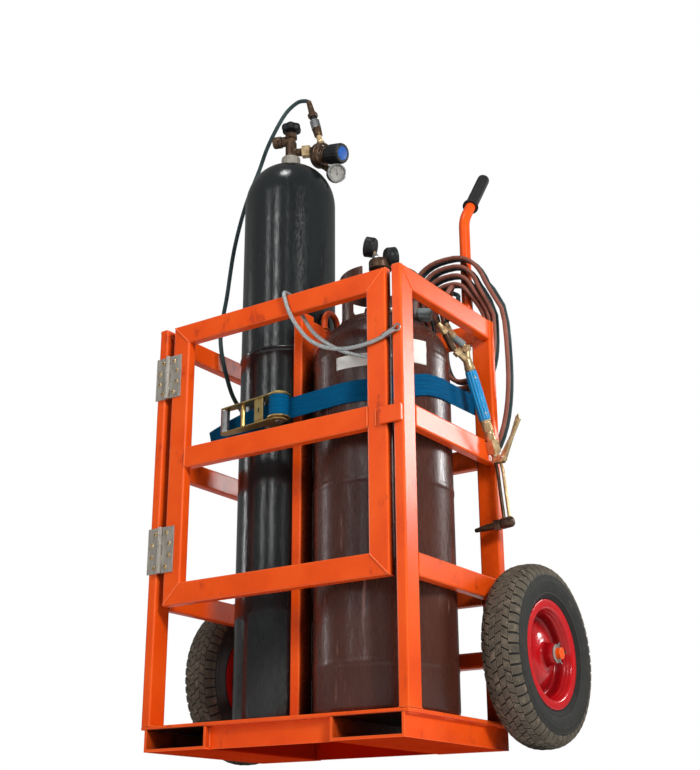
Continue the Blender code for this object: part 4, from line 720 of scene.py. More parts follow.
OXYGEN_HOSE_START = Vector((-0.091, 0.262, 1.69))
OXYGEN_FITTING_AXIS = Vector((-0.26, -0.03, 0.97)).normalized()
FUEL_OUTLET_AXIS = Vector((cos(radians(125)), sin(radians(125)), 0))
FUEL_OUTLET_RISE, FUEL_OUTLET_REACH = 0.052, 0.046
FUEL_START = ACETYLENE + UP * (DOME_Z + DOME_RISE + GAP + FUEL_OUTLET_RISE)
FUEL_START = FUEL_START + FUEL_OUTLET_AXIS * (FUEL_OUTLET_REACH + GAP)
TORCH_TOP = Vector((HALF - 0.005, 0.2885, 0.87))
TORCH_BLOCK = Vector((HALF + 0.0165, 0.376, 0.64))
TORCH_HEAD = Vector((HALF + 0.034, 0.379, 0.49))
TORCH_TIP = Vector((HALF - 0.041, 0.364, 0.478))
FUEL_INLET = Vector((INNER - 0.013, 0.221, 0.94))
OXYGEN_INLET = Vector((INNER - 0.013, 0.266, 0.944))
INLET_ROOT = TORCH_TOP.lerp(TORCH_BLOCK, 0.05)
FUEL_SUPPLY = mm("104 318 1010, 100 362 975, 106 382 920, 110 386 850, 119 400 812, 126 422 812")
OXYGEN_SUPPLY = mm("-108 260 1708, -131 258 1709, -163 255 1690, -194 254 1653, -227 252 1596, "
                   "-251 250 1535, -289 242 1435, -312 228 1308, -319 212 1166, -318 190 1035, "
                   "-309 214 925, -302 248 868, -280 300 820, -226 362 790, -150 382 760, "
                   "-50 385 738, 40 387 728, 92 402 728, 120 430 745, 128 444 790")
FUEL_LEAD = mm("270 362 1083, 283 345 1081, 303 302 1062, 315 252 1018, 312 215 982")
OXYGEN_LEAD = mm("275 386 1078, 284 370 1062, 298 345 1040, 311 312 1012, 313 285 988")
GASES = (("fuel", 0.0, FUEL_HOSE), ("oxygen", HOSE_LAY, OXYGEN_HOSE))


def build_hoses():
    ends = {}
    for gas, lay, material in GASES:
        route = coil_route(lay)
        hose_curve(gas + "_coil", route, material, gas + "_hose_coil")
        ends[gas] = (route[0] - UP * GAP, route[-1] + RIGHT * GAP)
    starts = {"fuel": (FUEL_START, FUEL_OUTLET_AXIS, FUEL_SUPPLY),
              "oxygen": (OXYGEN_HOSE_START + OXYGEN_FITTING_AXIS * GAP, OXYGEN_FITTING_AXIS,
                         OXYGEN_SUPPLY)}
    leads = {"fuel": (FUEL_LEAD, FUEL_INLET), "oxygen": (OXYGEN_LEAD, OXYGEN_INLET)}
    for gas, lay, material in GASES:
        route = hose_route(*starts[gas], ends[gas][0], UP)
        hose_curve(gas + "_supply", route, material, gas + "_supply_hose")
    for gas, lay, material in GASES:
        line, inlet = leads[gas]
        route = hose_route(ends[gas][1], RIGHT, line, inlet, (INLET_ROOT - inlet).normalized())
        hose_curve(gas + "_lead", route, material, gas + "_torch_lead")


build_hoses()

TETHER, ROPE_LAY, ROPE_STRANDS, EYE_RADIUS = 0.01, 0.055, 6, 0.0075


def build_tether_ends(line):
    """Crimped sleeves on the rope's ends: an eye for the post, a saddle on the latch stile."""
    pieces = []
    for name, tip, inward, eye in (("tether_ferrule", line[0], line[6], True),
                                   ("tether_saddle", line[-1], line[-7], False)):
        run = (inward - tip).normalized()
        piece = Piece(name, STEEL, ZINC)
        sleeve = mm("4 30, 6.6 29.5, 7 26, 6.2 22, 7 18, 6.2 14, 7 10, 6.2 6, 7 2, 6 -1, 0 -1")
        piece.lathe(sleeve, frame_at(tip, run), 24)
        if eye:
            across = run.cross(Vector((0, 1, 0)))
            ring = [tip - run * 0.008 + run * (EYE_RADIUS * cos(a))
                    + across * (EYE_RADIUS * sin(a)) for a in ring_angles(24)]
            piece.sweep(ring, circle(0.0022, 10), 0, caps=False)
        else:
            plate = frame_at((tip.x, TUBE_NARROW + 0.0018, tip.z), (0, 1, 0))
            piece.block((0.022, 0.012, 0.003), plate, 1)
            piece.lathe(mm("0 6.5, 3 6, 4.2 4.5, 4.5 3, 4.5 0"),
                        frame_at((tip.x + 0.012, TUBE_NARROW, tip.z), (0, 1, 0)), 16, 0)
        pieces.append(piece.done("gate", "wire_rope"))
    return pieces


def build_tether():
    radius = TETHER / 2
    front = -radius - 2 * GAP
    back = TUBE_NARROW + radius + 2 * GAP
    over = TOP + radius + 2 * GAP
    fall = mm("40 985, 55 945, 80 905, 112 868, 156 841, 202 828, 249 825, 296 830, 334 843")
    rise = mm("46 985, 62 955, 100 897, 166 845, 236 813, 290 800")
    crest = [(0.036, front, over - radius), (0.036, front + radius, over + GAP),
             (0.036, back - radius, over + GAP), (0.036, back, over - radius)]
    front_strand = even_route([(x, front, z) for x, z in reversed(fall)], 3 * TETHER)
    back_strand = even_route([(x, back, z) for x, z in rise], 3 * TETHER)
    route = front_strand + [Vector(p) for p in crest] + back_strand
    line = smooth_line(route, 5)
    strands = [(a, radius * (0.9 + 0.1 * cos(ROPE_STRANDS * a))) for a in ring_angles(36)[:-1]]
    section = [(reach * cos(a), reach * sin(a)) for a, reach in strands]
    rope = Piece("tether_rope", WIRE_ROPE).sweep(line, section, twist=tau / ROPE_LAY)
    rope = rope.done("gate", "wire_rope", ["gate_tether"], angle=radians(80))
    point(*line[-1])
    length_of(line)
    [point(*p) for p in reversed(line)]
    build_tether_ends(line)


build_tether()

# Wheels
TREAD_BLOCKS, TREAD_ROOT, TREAD_CROWN = 54, 0.008, 0.0006
SHOULDER_FILL, MIDDLE_FILL = 0.74, 0.82
CARCASS, STEM_OFFSET = 0.1955, Vector((0, 0.0689, 0.0122))
WASHER_OUT, COTTER_OUT, COTTER_RADIUS = 0.0442, 0.0515, 0.0011
TREAD_ROWS = ((-0.0428, -0.0292, 0.0, 0.0), (-0.0272, -0.0152, 0.5, 0.3),
              (-0.0134, -0.001, 0.0, -0.3), (0.001, 0.0134, 0.5, -0.3), (0.0152, 0.0272, 0.0, 0.3),
              (0.0292, 0.0428, 0.5, 0.0))
TYRE_LINE = mm("0 200, 13.2 199.6, 23 197.5, 31.7 193.5, 38.5 188, 43 180")
SIDEWALL = mm("102.1 30.4, 118.2 30.4, 120.5 33, 126 38.2, 130 40.2, 130.6 41.2, 132.4 41.2, "
              "133 40.8, 145 43.4, 156 44, 156.6 44.6, 158.2 44.6, 158.8 44, 168 43.6, 168.6 44.1, "
              "170 44.1, 170.6 43.3, 179 41.2, 183.5 38.8, 189 31.7, 193 23, 195.1 13.2")
RIM_FACE = mm("119.5 31.2, 119.5 33.4, 118.8 34.4, 117.6 34.7, 104 34.7, 100.5 33.8, 98.5 31.2, "
              "96.8 28.2, 96.2 26.2, 95 25.2, 93.8 22.2, 92.6 19, 91.4 18, 90 14, 88.8 8, 88.2 1, "
              "86.2 -4, 82.5 -5.5, 77 -3.2, 64 4.5, 52 11.8, 45 15.2, 38 16.8, 31 17.6, 26.8 19.6, "
              "25 24, 24 32, 22.2 42.2, 21.2 43.8, 12.9 44")
RIM_BACK = mm("12.9 -44, 24 -44, 24 8, 44 11, 64 0.5, 80 -9, 86.8 -10, 88 -15, 98 -34.5, "
              "119.5 -34.5, 119.5 -31.2, 101.5 -30.8, 91.5 -12.1, 91.5 12.1, 101.5 30.8")


def tyre_radius(width):
    """Radius of the tread's top at a place across the tyre."""
    width = abs(width)
    for (w0, r0), (w1, r1) in zip(TYRE_LINE, TYRE_LINE[1:]):
        if width <= w1:
            return r0 + (r1 - r0) * (width - w0) / (w1 - w0)
    return TYRE_LINE[-1][1]


def tread(piece, place):
    """Rows of skewed blocks standing on the tyre's carcass."""
    pitch = tau / TREAD_BLOCKS
    for low, high, phase, skew in TREAD_ROWS:
        fill = MIDDLE_FILL if skew else SHOULDER_FILL
        for k in range(TREAD_BLOCKS):
            tops, feet = [], []
            for i in range(4):
                width = low + (high - low) * i / 3
                shift = pitch * (k + phase + skew * (i / 3 - 0.5))
                for j in range(3):
                    angle = shift + pitch * fill * (j / 2 - 0.5)
                    rounding = TREAD_CROWN if i in (0, 3) or j in (0, 2) else 0.0
                    for ring, radius in ((tops, tyre_radius(width) - rounding),
                                         (feet, tyre_radius(width) - TREAD_ROOT)):
                        spot = Vector((radius * cos(angle), radius * sin(angle), width))
                        ring.append(piece.work.verts.new(place @ spot))
            for i in range(3):
                for j in range(2):
                    a = 3 * i + j
                    piece.face((tops[a], tops[a + 1], tops[a + 4], tops[a + 3]), 1)
                    piece.face((feet[a], feet[a + 3], feet[a + 4], feet[a + 1]), 0)
            loop = [0, 1, 2, 5, 8, 11, 10, 9, 6, 3]
            for a, b in zip(loop, loop[1:] + loop[:1]):
                piece.face((tops[b], tops[a], feet[a], feet[b]), 1)


def build_wheels():
    for side, sign in SIDES:
        body = side + "_wheel"
        hub = Vector((sign * WHEEL_X, AXLE_Y, WHEEL_Z))
        place = frame_at(hub, (sign, 0, 0))
        tyre = Piece(side + "_treaded_tyre", TYRE, TREAD)
        section = SIDEWALL + [(CARCASS, 0.0)] + [(r, -w) for r, w in reversed(SIDEWALL)]
        section += mm("121 -28, 189 -20, 189 20, 121 28")
        tyre.lathe(section, place, 108, closed=True)
        tread(tyre, place)
        tyre.done(body, "tyre_rubber", [side + "_tyre"], angle=radians(38))
        rim = Piece(side + "_pressed_rim", RED)
        rim.lathe(RIM_FACE + RIM_BACK, place, 96, closed=True)
        rim.done(body, "red_enamel", [side + "_rim"], angle=radians(50))
        stem = Piece(side + "_tyre_valve", GRIP, BRASS)
        foot = hub + STEM_OFFSET
        stem.turned("3 34, 4 33, 4 22, 3.4 21, 3.4 19, 5.2 17, 6 4, 7.4 2, 7.4 -3",
                    frame_at(foot, (sign, 0, 0)), 18)
        stem.done(body, "grip_rubber")
        washer = Piece(side + "_axle_washer", ZINC)
        washer.lathe(mm("12.7 3.2, 19.2 3.2, 20 2.6, 20 0.8, 19.2 0.2, 12.7 0.2"),
                     frame_at(hub + RIGHT * (sign * WASHER_OUT), (sign, 0, 0)), 40, closed=True)
        washer.done("cart", "zinc_plate")
        pin = Piece(side + "_cotter_pin", STEEL)
        x = sign * (WHEEL_X + COTTER_OUT)
        loop = [(x, AXLE_Y + 0.0035 * sin(a), WHEEL_Z + 0.0185 - 0.0045 * cos(a))
                for a in (radians(20 + 32 * i) for i in range(11))]
        for way in (-1, 1):
            leg = [(x, AXLE_Y + way * 0.0012, WHEEL_Z + 0.015),
                   (x, AXLE_Y + way * 0.0009, WHEEL_Z - 0.014),
                   (x + sign * 0.0006, AXLE_Y + way * 0.0035, WHEEL_Z - 0.0185),
                   (x + sign * 0.001, AXLE_Y + way * 0.0085, WHEEL_Z - 0.0215)]
            pin.sweep(smooth_line(leg, 5), circle(COTTER_RADIUS, 8))
        pin.sweep(loop, circle(COTTER_RADIUS, 8))
        pin.done("cart", "zinc_plate")


build_wheels()

# Push handles
HANDLE_X, HANDLE_Y, HANDLE_RADIUS = 0.286, DEPTH - TUBE_NARROW / 2, 0.0135
HANDLE_BEND_Z, HANDLE_BEND, HANDLE_LEAN = 1.268, 0.08, radians(34.5)
HANDLE_BARE, HANDLE_STRAIGHT, HANDLE_WELD = 0.039, 1.13, 0.0138
GRIP_LENGTH, GRIP_RADIUS, GRIP_COLLAR = 0.146, 0.016, 0.012
GRIP_RIBS, GRIP_PITCH = 20, 0.006


def build_handles():
    lean = Vector((0, sin(HANDLE_LEAN), cos(HANDLE_LEAN)))
    bend = arc((HANDLE_Y + HANDLE_BEND, HANDLE_BEND_Z), HANDLE_BEND, 180,
               180 - degrees(HANDLE_LEAN), 16)
    end = Vector((0, *bend[-1]))
    tip = end + lean * (HANDLE_BARE + GRIP_LENGTH - 0.0063)
    ribs = []
    rib = mm("0.9 0, 0.1 1.2, 0 2.8, 0.1 4.4")
    for i in range(GRIP_RIBS):
        ribs += [(GRIP_RADIUS - inset, GRIP_COLLAR + i * GRIP_PITCH + up) for inset, up in rib]
    cap = mm("0 0, 8.5 0.4, 12.8 2.2, 15.4 6, 16 10.5")
    profile = [(radius, GRIP_LENGTH - depth) for radius, depth in cap]
    profile += ribs[::-1] + mm("16 8.5, 17.8 6, 20.5 4.5, 20.5 0.8, 19.8 0, 13.9 0")
    for side, sign in SIDES:
        x = sign * HANDLE_X
        path = [(x, HANDLE_Y, TOP + GAP), (x, HANDLE_Y, HANDLE_STRAIGHT)]
        path += [(x, y, z) for y, z in bend + [(tip.y, tip.z)]]
        bar = Piece(side + "_push_bar", ORANGE).sweep(path, circle(HANDLE_RADIUS, 28))
        flat = [(cos(a), min(0.82, max(-0.82, sin(a)))) for a in ring_angles(24)]
        foot = [(x + HANDLE_WELD * u, HANDLE_Y + HANDLE_WELD * v) for u, v in flat]
        bar.bead([(*spot, TOP + 0.0016) for spot in foot])
        bar.done("cart", "orange_paint", [side + "_handle"])
        start = end + lean * HANDLE_BARE
        place = frame_at((x, start.y, start.z), lean)
        grip = Piece(side + "_ribbed_grip", GRIP).lathe(profile, place, 40)
        grip.done("cart", "grip_rubber", [side + "_grip"])


build_handles()

# Gas cylinders
FLOOR = DECK_TOP + GAP
SEAMS = (0.85, 0.547, 0.159)
SEAM_HEIGHT, SEAM_HALF, SEAM_SLOPE = 0.0012, 0.01, 0.006
GUARD_RADIUS, GUARD_WALL, GUARD_TOP, GUARD_RIM = 0.098, 0.006, 1.08, 0.03
GUARD_BEAD, GUARD_CUT = 0.0995, (0.055, 0.125)
LABELS = (("front_label", -97, -60, 0.804, 0.834), ("side_label", -42, -18, 0.814, 0.871))
LABEL_ROWS, LABEL_COLUMNS, LABEL_THICK, LABEL_LIFT = 12, 16, 0.0005, 0.0006
GUARD_LEGS, GUARD_LEG_WIDTH, GUARD_MOUTH = (-112, -8, 70, 185), 22, (-84, -22)


def round_foot(radius):
    """Lower end of a cylinder's profile."""
    curve = mm("0 16, 2 8, 6 3, 12 0")
    return [(radius - inset, FLOOR + rise) for inset, rise in curve] + [(0, FLOOR)]


def build_oxygen_cylinder():
    radius, neck, shoulder, crown = OXYGEN_RADIUS, 0.025, 1.376, 1.489
    angles = [radians(a) for a in range(6, 91, 4)]
    dome = [(neck + (radius - neck) * sin(a), shoulder + (crown - shoulder) * cos(a))
            for a in angles]
    dome[0] = (neck + 0.004, dome[0][1])
    line = [(0.0, 1.488), (neck + 0.001, 1.4875)] + dome
    wall = mm("0 1300, 0 946, 0.5 943, 2.2 941, 2.2 936, 0.5 934, 0 931, 0 500")
    line += [(radius + out, z) for out, z in wall]
    line += round_foot(radius)
    bottle = Piece("oxygen_bottle", OXYGEN_PAINT, ZINC)
    bottle.lathe(line, move(*OXYGEN), 96)
    bottle.turned("22.5 1525, 24.8 1523.5, 25.2 1520, 25.2 1498, 26.2 1495, 26.2 1485",
                  move(*OXYGEN), 96, 1, wave=lambda a: 1.0 - 0.028 * (0.5
                                                                      + 0.5 * cos(16 * a)) ** 3)
    bottle.done("cart", "black_paint", ["oxygen_cylinder"], angle=radians(40))


def guard_cutter(name, start, end, low, high, corner=9.0, height=0.016):
    """Round-cornered block that cuts through the valve guard between two angles and two heights."""
    middle, half = (start + end) / 2, (end - start) / 2
    edge = []
    for way, up, first in ((1, 1, 0), (-1, 1, 90), (-1, -1, 180), (1, -1, 270)):
        for k in range(6):
            a = radians(first + 18 * k)
            edge.append((way * (half - corner) + corner * cos(a),
                         (high - height if up > 0 else low + height) + height * sin(a)))
    cutter = bmesh.new()
    inner, outer = [], []
    for angle, z in edge:
        a = radians(middle + angle)
        for verts, radius in zip((inner, outer), GUARD_CUT):
            x, y = ACETYLENE.x + radius * cos(a), ACETYLENE.y + radius * sin(a)
            verts.append(cutter.verts.new(point(x, y, z)))
    cutter.faces.new(inner[::-1])
    cutter.faces.new(outer)
    for k in range(len(edge)):
        m = (k + 1) % len(edge)
        cutter.faces.new((inner[k], inner[m], outer[m], outer[k]))
    bmesh.ops.recalc_face_normals(cutter, faces=cutter.faces)
    return put(name, mesh_of(name, cutter))


def guard_windows(ring):
    """Windows between the guard's legs, and the mouth where its rim is left out."""
    share = (GUARD_RADIUS - GUARD_WALL) / ACETYLENE_RADIUS
    low = DOME_Z + DOME_RISE * sqrt(1 - share ** 2) + 0.004
    half = GUARD_LEG_WIDTH / 2
    tools = []
    for leg, following in zip(GUARD_LEGS, GUARD_LEGS[1:] + (GUARD_LEGS[0] + 360,)):
        tools.append(guard_cutter("guard_window_" + str(leg), leg + half, following - half, low,
                                  GUARD_TOP - GUARD_RIM))
    tools.append(guard_cutter("guard_mouth", *GUARD_MOUTH, low + 0.004, GUARD_TOP + GUARD_RIM))
    for tool in tools:
        cut = ring.modifiers.new(tool.name, "BOOLEAN")
        cut.operation = "DIFFERENCE"
        cut.object = tool
    bpy.context.view_layer.update()
    shaped = ring.evaluated_get(bpy.context.evaluated_depsgraph_get())
    made = bpy.data.meshes.new_from_object(shaped)
    ring.modifiers.clear()
    for tool in tools:
        bpy.data.objects.remove(tool, do_unlink=True)
    ring.data = made
    add_bevel(ring, 0.0012)


def seam_bulge(z):
    """Height of the cylinder's round seams above its wall."""
    away = min(abs(z - seam) for seam in SEAMS)
    return SEAM_HEIGHT * min(1.0, max(0.0, (SEAM_HALF - away) / SEAM_SLOPE))


def build_acetylene_cylinder():
    radius = ACETYLENE_RADIUS
    line = [(radius * sin(radians(a)), DOME_Z + DOME_RISE * cos(radians(a)))
            for a in range(0, 91, 5)]
    seam = mm("0 10, 0.4 7, 1.2 4, 1.2 -4, 0.4 -7, 0 -10")
    for z in SEAMS:
        line += [(radius + out, z + up) for out, up in seam]
    line += round_foot(radius)
    bottle = Piece("acetylene_bottle", ACETYLENE_PAINT).lathe(line, move(*ACETYLENE), 112)
    foot = DOME_Z + DOME_RISE * sqrt(1 - (GUARD_RADIUS / radius) ** 2)
    bottle.bead([ACETYLENE + Vector((GUARD_BEAD * cos(a), GUARD_BEAD * sin(a), foot - 0.0002))
                 for a in ring_angles(60)], 0.003, pitch=0.005)
    bottle.done("cart", "maroon_paint", ["acetylene_cylinder"])
    inner = GUARD_RADIUS - GUARD_WALL
    ring = Piece("valve_guard", ACETYLENE_PAINT)
    ring.lathe([(GUARD_RADIUS - 0.002, GUARD_TOP), (GUARD_RADIUS, GUARD_TOP - 0.002),
                (GUARD_RADIUS, foot - 0.004), (inner, foot - 0.004), (inner, GUARD_TOP - 0.002),
                (inner + 0.002, GUARD_TOP)], move(*ACETYLENE), 96, closed=True)
    guard_windows(ring.done("cart", "maroon_paint"))
    for name, first, last, low, high in LABELS:
        label = Piece(name, PAPER)
        angles = [radians(first + (last - first) * i / LABEL_COLUMNS)
                  for i in range(LABEL_COLUMNS + 1)]
        rows = []
        for k in range(LABEL_ROWS + 1):
            z = low + (high - low) * k / LABEL_ROWS
            reach = radius + LABEL_LIFT + seam_bulge(z)
            line = [ACETYLENE + Vector((reach * cos(a), reach * sin(a), z)) for a in angles]
            rows.append([label.work.verts.new(spot) for spot in line])
        for lower, upper in zip(rows, rows[1:]):
            for i in range(LABEL_COLUMNS):
                label.face((lower[i], lower[i + 1], upper[i + 1], upper[i]), 0)
        label = label.done("cart")
        shell = label.modifiers.new("paper", "SOLIDIFY")
        shell.thickness = LABEL_THICK
        shell.offset = -1.0


build_oxygen_cylinder()
build_acetylene_cylinder()

# Ratchet strap
STRAP_WIDTH, STRAP_Z = 0.05, MID_TOP + 0.06
STRAP_RISE = ((0, 0.06), (2, 0.0467), (3, 0.026), (6.5, 0.021), (9, 0.007), (12, 0.0), (17, 0.0))
STRAP_STEPS = 13
STRAP_TAIL, TAIL_DROOP = Vector((-0.245, 0.084)), 0.028
SPOOL_X, SPOOL_RADIUS = -0.003, 0.023
SEAM_ROWS, SEAM_LIFT, SEAM_RADIUS = (-0.019, -0.0095, 0.0, 0.0095, 0.019), 0.0021, 0.0007
PIN_REACH, PIN_RADIUS = 0.062, 0.005
RATCHET_LENGTH, RATCHET_TEETH = 0.172, 13
ROLL_TURNS, ROLL_STEPS, ROLL_GROWTH = 1.7, 120, 0.0006
RATCHET_INNER, RATCHET_PLATE = STRAP_WIDTH / 2 + GAP, 0.003
HANDLE_OUTER = RATCHET_INNER + 2 * RATCHET_PLATE + GAP


def tangent(place, centre, radius, side):
    """Angle, in degrees, where a line from a place touches a circle, on one side of it."""
    run = Vector(place) - centre
    return degrees(atan2(run.y, run.x) + side * acos(radius / run.length))


def band_section(thickness, width=STRAP_WIDTH):
    """Flat band with round selvedges; its first axis lies across the width."""
    half, thin, edge = width / 2, thickness / 2, 0.0006
    row = [(half - edge) * (i / 4 - 1) for i in range(9)]
    ribs = [thin * (0.94 + 0.06 * (i % 2)) for i in range(9)]
    lower = [(x, -y) for x, y in zip(row, ribs)] + [(half, -thin * 0.4), (half, thin * 0.4)]
    return lower + [(-x, -y) for x, y in lower]


def left_of(path, distance):
    """The path moved to the left-hand side of the way it runs."""
    moved = []
    for i, here in enumerate(path):
        run = path[min(i + 1, len(path) - 1)] - path[max(i - 1, 0)]
        moved.append(here + Vector((-run.y, run.x, 0)).normalized() * distance)
    return moved


def strap_rise(share):
    """Height of the long strap over its level, along its steps from the rear post."""
    for (a, low), (b, high) in zip(STRAP_RISE, STRAP_RISE[1:]):
        if share <= b:
            return low + (high - low) * (share - a) / (b - a)
    return 0.0


def corner_turn(x, sign):
    """Webbing's way round a rear post, from its inner side to the back of the post."""
    behind, bend = DEPTH + 2 * GAP + STRAP_THICKNESS, 0.004
    turn = arc((x + sign * bend, behind - bend), bend, 90 + 90 * sign, 90, 6)
    return [(x, REAR_FRONT)] + turn + [(sign * (HALF - TUBE_NARROW), behind)]


def build_straps():
    """Long webbing round the acetylene cylinder, and the short one from the ratchet's pin."""
    beside = HALF - TUBE_WIDE - 2 * GAP - STRAP_THICKNESS
    centre, rest = ACETYLENE.to_2d(), ACETYLENE_RADIUS + 2 * GAP
    first = tangent((beside, REAR_FRONT), centre, rest, -1)
    last = tangent(STRAP_TAIL, centre, rest, 1)
    back = list(reversed(corner_turn(beside, 1)))
    ring = arc(centre, rest, first, last, 4 * STRAP_STEPS + 1)
    shares = [2 * i / (len(back) - 1) for i in range(len(back))]
    shares += [3 + i / 4 for i in range(len(ring))]
    heights = [STRAP_Z + strap_rise(share) for share in shares]
    path = [Vector((*spot, z)) for spot, z in zip(back + ring, heights)]
    touch = Vector(ring[-1])
    along = (STRAP_TAIL - touch).normalized()
    front = Vector((-along.y, along.x))
    spool = touch + along * ((SPOOL_X - touch.x) / along.x)
    loose = spool + along * (PIN_REACH + SPOOL_RADIUS)
    path += [touch.lerp(loose, (i + 1) / 10).to_3d() + UP * STRAP_Z for i in range(10)]
    path += [loose.lerp(STRAP_TAIL, t).to_3d() + UP * (STRAP_Z - TAIL_DROOP * t ** 1.6)
             for t in ((i + 1) / 12 for i in range(12))]
    line = left_of(path, STRAP_THICKNESS / 2)
    strap = Piece("long_strap", WEBBING).sweep(line, band_section(STRAP_THICKNESS), side=UP)
    strap.done("cart", "blue_webbing", ["strap_webbing"])
    build_sewn_fold([here for here, share in zip(path, shares) if 2.9 < share < 8.4])
    axis = spool + front * (STRAP_THICKNESS + SPOOL_RADIUS + 2 * GAP)
    pin = axis + along * PIN_REACH - front * (SPOOL_RADIUS + 2 * PIN_RADIUS)
    start = pin + along * (PIN_RADIUS + GAP)
    centre, rest = OXYGEN.to_2d(), OXYGEN_RADIUS + 2 * GAP
    last = tangent((-beside, REAR_FRONT), centre, rest, 1) - 360
    ring = arc(centre, rest, tangent(start, centre, rest, -1), last, 40)
    short = [tuple(start.lerp(Vector(ring[0]), i / 6)) for i in range(6)]
    short += ring + corner_turn(-beside, -1)
    line = left_of([Vector((x, y, STRAP_Z)) for x, y in short], STRAP_THICKNESS / 2)
    strap = Piece("short_strap", WEBBING).sweep(line, band_section(STRAP_THICKNESS), side=UP)
    strap.done("cart", "blue_webbing", ["strap_anchor_webbing"])
    build_ratchet(axis, pin, along, front)


def build_sewn_fold(path):
    """Folded end of the long strap, sewn down with rows of thread."""
    fold = Piece("strap_fold", WEBBING, SEAM)
    fold.sweep(left_of(path, STRAP_THICKNESS + 0.001), band_section(0.002, STRAP_WIDTH - 0.001),
               side=UP)
    seam = left_of(path, STRAP_THICKNESS + SEAM_LIFT)
    stitch = circle(SEAM_RADIUS, 6)
    for row in SEAM_ROWS:
        for a, b in zip(seam, seam[1:]):
            fold.sweep([a.lerp(b, t) + UP * row for t in (0.15, 0.5, 0.85)], stitch, 1)
    for i in range(9):
        low = seam[-2] + UP * (STRAP_WIDTH - 0.004) * (i / 9 - 0.5)
        fold.sweep([low, low + UP * 0.0022, low + UP * 0.0044], stitch, 1)
    fold.done("cart", "blue_webbing")


def saw_teeth(radius, depth, count):
    """Outline of a ratchet wheel."""
    points = []
    for i in range(count):
        for share, size in ((0.0, radius), (0.12, radius - depth), (0.55, radius - depth * 0.6)):
            a = tau * (i + share) / count
            points.append((size * cos(a), size * sin(a)))
    return points


def nut(piece, place, radius, low, high, slot=0, sides=6):
    """Nut or block with chamfered ends about a placement's own Z."""
    edge = min(0.0012, (high - low) / 4)
    flat = radius * 0.92
    piece.turned([(flat, high), (radius, high - edge), (radius, low + edge), (flat, low)], place,
                 sides, slot)


def build_ratchet(axis, pin, along, front):
    """Strap wound on the spool, toothed wheels, rivets, and the handle's bar sleeve and pawl."""
    carry(["ratchet_frame", "ratchet_handle"], YELLOW_ZINC, 0.0005)
    place = Matrix(((along.x, front.x, 0, axis.x), (along.y, front.y, 0, axis.y),
                    (0, 0, 1, STRAP_Z), (0, 0, 0, 1)))
    roll = Piece("strap_roll", WEBBING)
    winding = [(SPOOL_RADIUS - ROLL_GROWTH + ROLL_GROWTH * i / ROLL_STEPS,
                tau * ROLL_TURNS * i / ROLL_STEPS) for i in range(ROLL_STEPS + 1)]
    roll.sweep([place @ Vector((r * cos(a), r * sin(a), 0)) for r, a in winding],
               band_section(0.0012, 0.049), side=UP)
    roll.done("cart", "blue_webbing")
    works = Piece("ratchet_wheels", YELLOW_ZINC, STEEL)
    for sign in (1, -1):
        works.slab(saw_teeth(0.021, 0.0038, RATCHET_TEETH), 0.0014,
                   place @ move(0, 0, sign * (HANDLE_OUTER + 0.0009)))
        hub = frame_at(place @ Vector((0, 0, sign * (HANDLE_OUTER + 0.0016))), UP * sign)
        nut(works, hub, 0.008, 0, 0.0036, 1)
        head = frame_at((pin.x, pin.y, STRAP_Z + sign * (RATCHET_INNER + RATCHET_PLATE)),
                        UP * sign)
        works.turned("0 2.8, 3 2.5, 5.6 1.3, 6.4 0", head, 20, 1)
    works.done("cart", "yellow_zinc", bevel=0.0002)
    bar = Piece("ratchet_bar_sleeve", STEEL)
    sleeve = mm("9.3 28, 10.4 27.4, 10.8 25.5")
    sleeve += [(0.0108 - 0.0005 * (i % 2), 0.024 - 0.0016 * i) for i in range(31)]
    sleeve += mm("10.8 -25.5, 10.4 -27.4, 9.3 -28")
    bar.lathe(sleeve, place @ move(RATCHET_LENGTH, 0, 0), 28, closed=True)
    bar.done("ratchet_lever", "yellow_zinc")
    pawl = Piece("pawl_plate", YELLOW_ZINC, BLACK_PLASTIC)
    flat = place @ move(RATCHET_LENGTH * 0.3, SPOOL_RADIUS * 0.5 + 0.0023, 0) @ rotate("X", pi / 2)
    for x, z, wide, tall in mm("-7.5 0 9 48, 7.5 0 9 48, 0 15 6 18, 0 -15 6 18"):
        pawl.block((wide, tall, 0.0016), flat @ move(x, z, 0))
    pawl.slab(mm("-2.9 -5.8, 2.9 -5.8, 2.9 5.8, -2.9 5.8"), 0.0004, flat @ move(0, 0, 0.0004), 1)
    pawl.done("ratchet_lever", "yellow_zinc", bevel=0.0003)


build_straps()

# Oxygen valve and regulator
VALVE_FOOT = OXYGEN + UP * (1.525 + GAP)
OUTLET_RISE, OUTLET_REACH, OUTLET_TURN = 0.017, 0.03, 25
REGULATOR_REACH, REGULATOR_DROP = 0.082, 0.016
OXYGEN_KNOB_AXIS = Vector((0.962, -0.084, -0.259)).normalized()
OXYGEN_BONNET, CAP_RISE, CAP_TURN = 0.025, 0.054, 200
OXYGEN_GAUGE, OXYGEN_GAUGE_ROOT = Vector((0.047, 0.001, -0.068)), Vector((-0.004, 0.01, -0.026))
OXYGEN_GAUGE_FACING = Vector((0.7, -0.6, -0.38)).normalized()
FITTING_LENGTH, HANDWHEEL_RISE = 0.152, 0.08 + GAP + 0.011
GAUGE_DEPTH, GAUGE_TICKS, GAUGE_SWEEP = 0.026, 30, 270
TICK_REACH, DIAL_FACE, NEEDLE_FACE, NEEDLE_TURN = 0.0192, 0.0223, 0.0229, 0.12


def level(angle, slope=0.0):
    """Unit direction at an angle in degrees round the vertical."""
    return Vector((cos(radians(angle)), sin(radians(angle)), slope)).normalized()


OUTLET_WAY = level(OUTLET_TURN)


def thread(radius, high, low, pitch=0.0014, depth=0.0006):
    """Profile of a screw thread's ridges from the top down."""
    count = max(2, int((high - low) / pitch * 2))
    return [(radius - depth * (i % 2), high - (high - low) * i / count) for i in range(count + 1)]


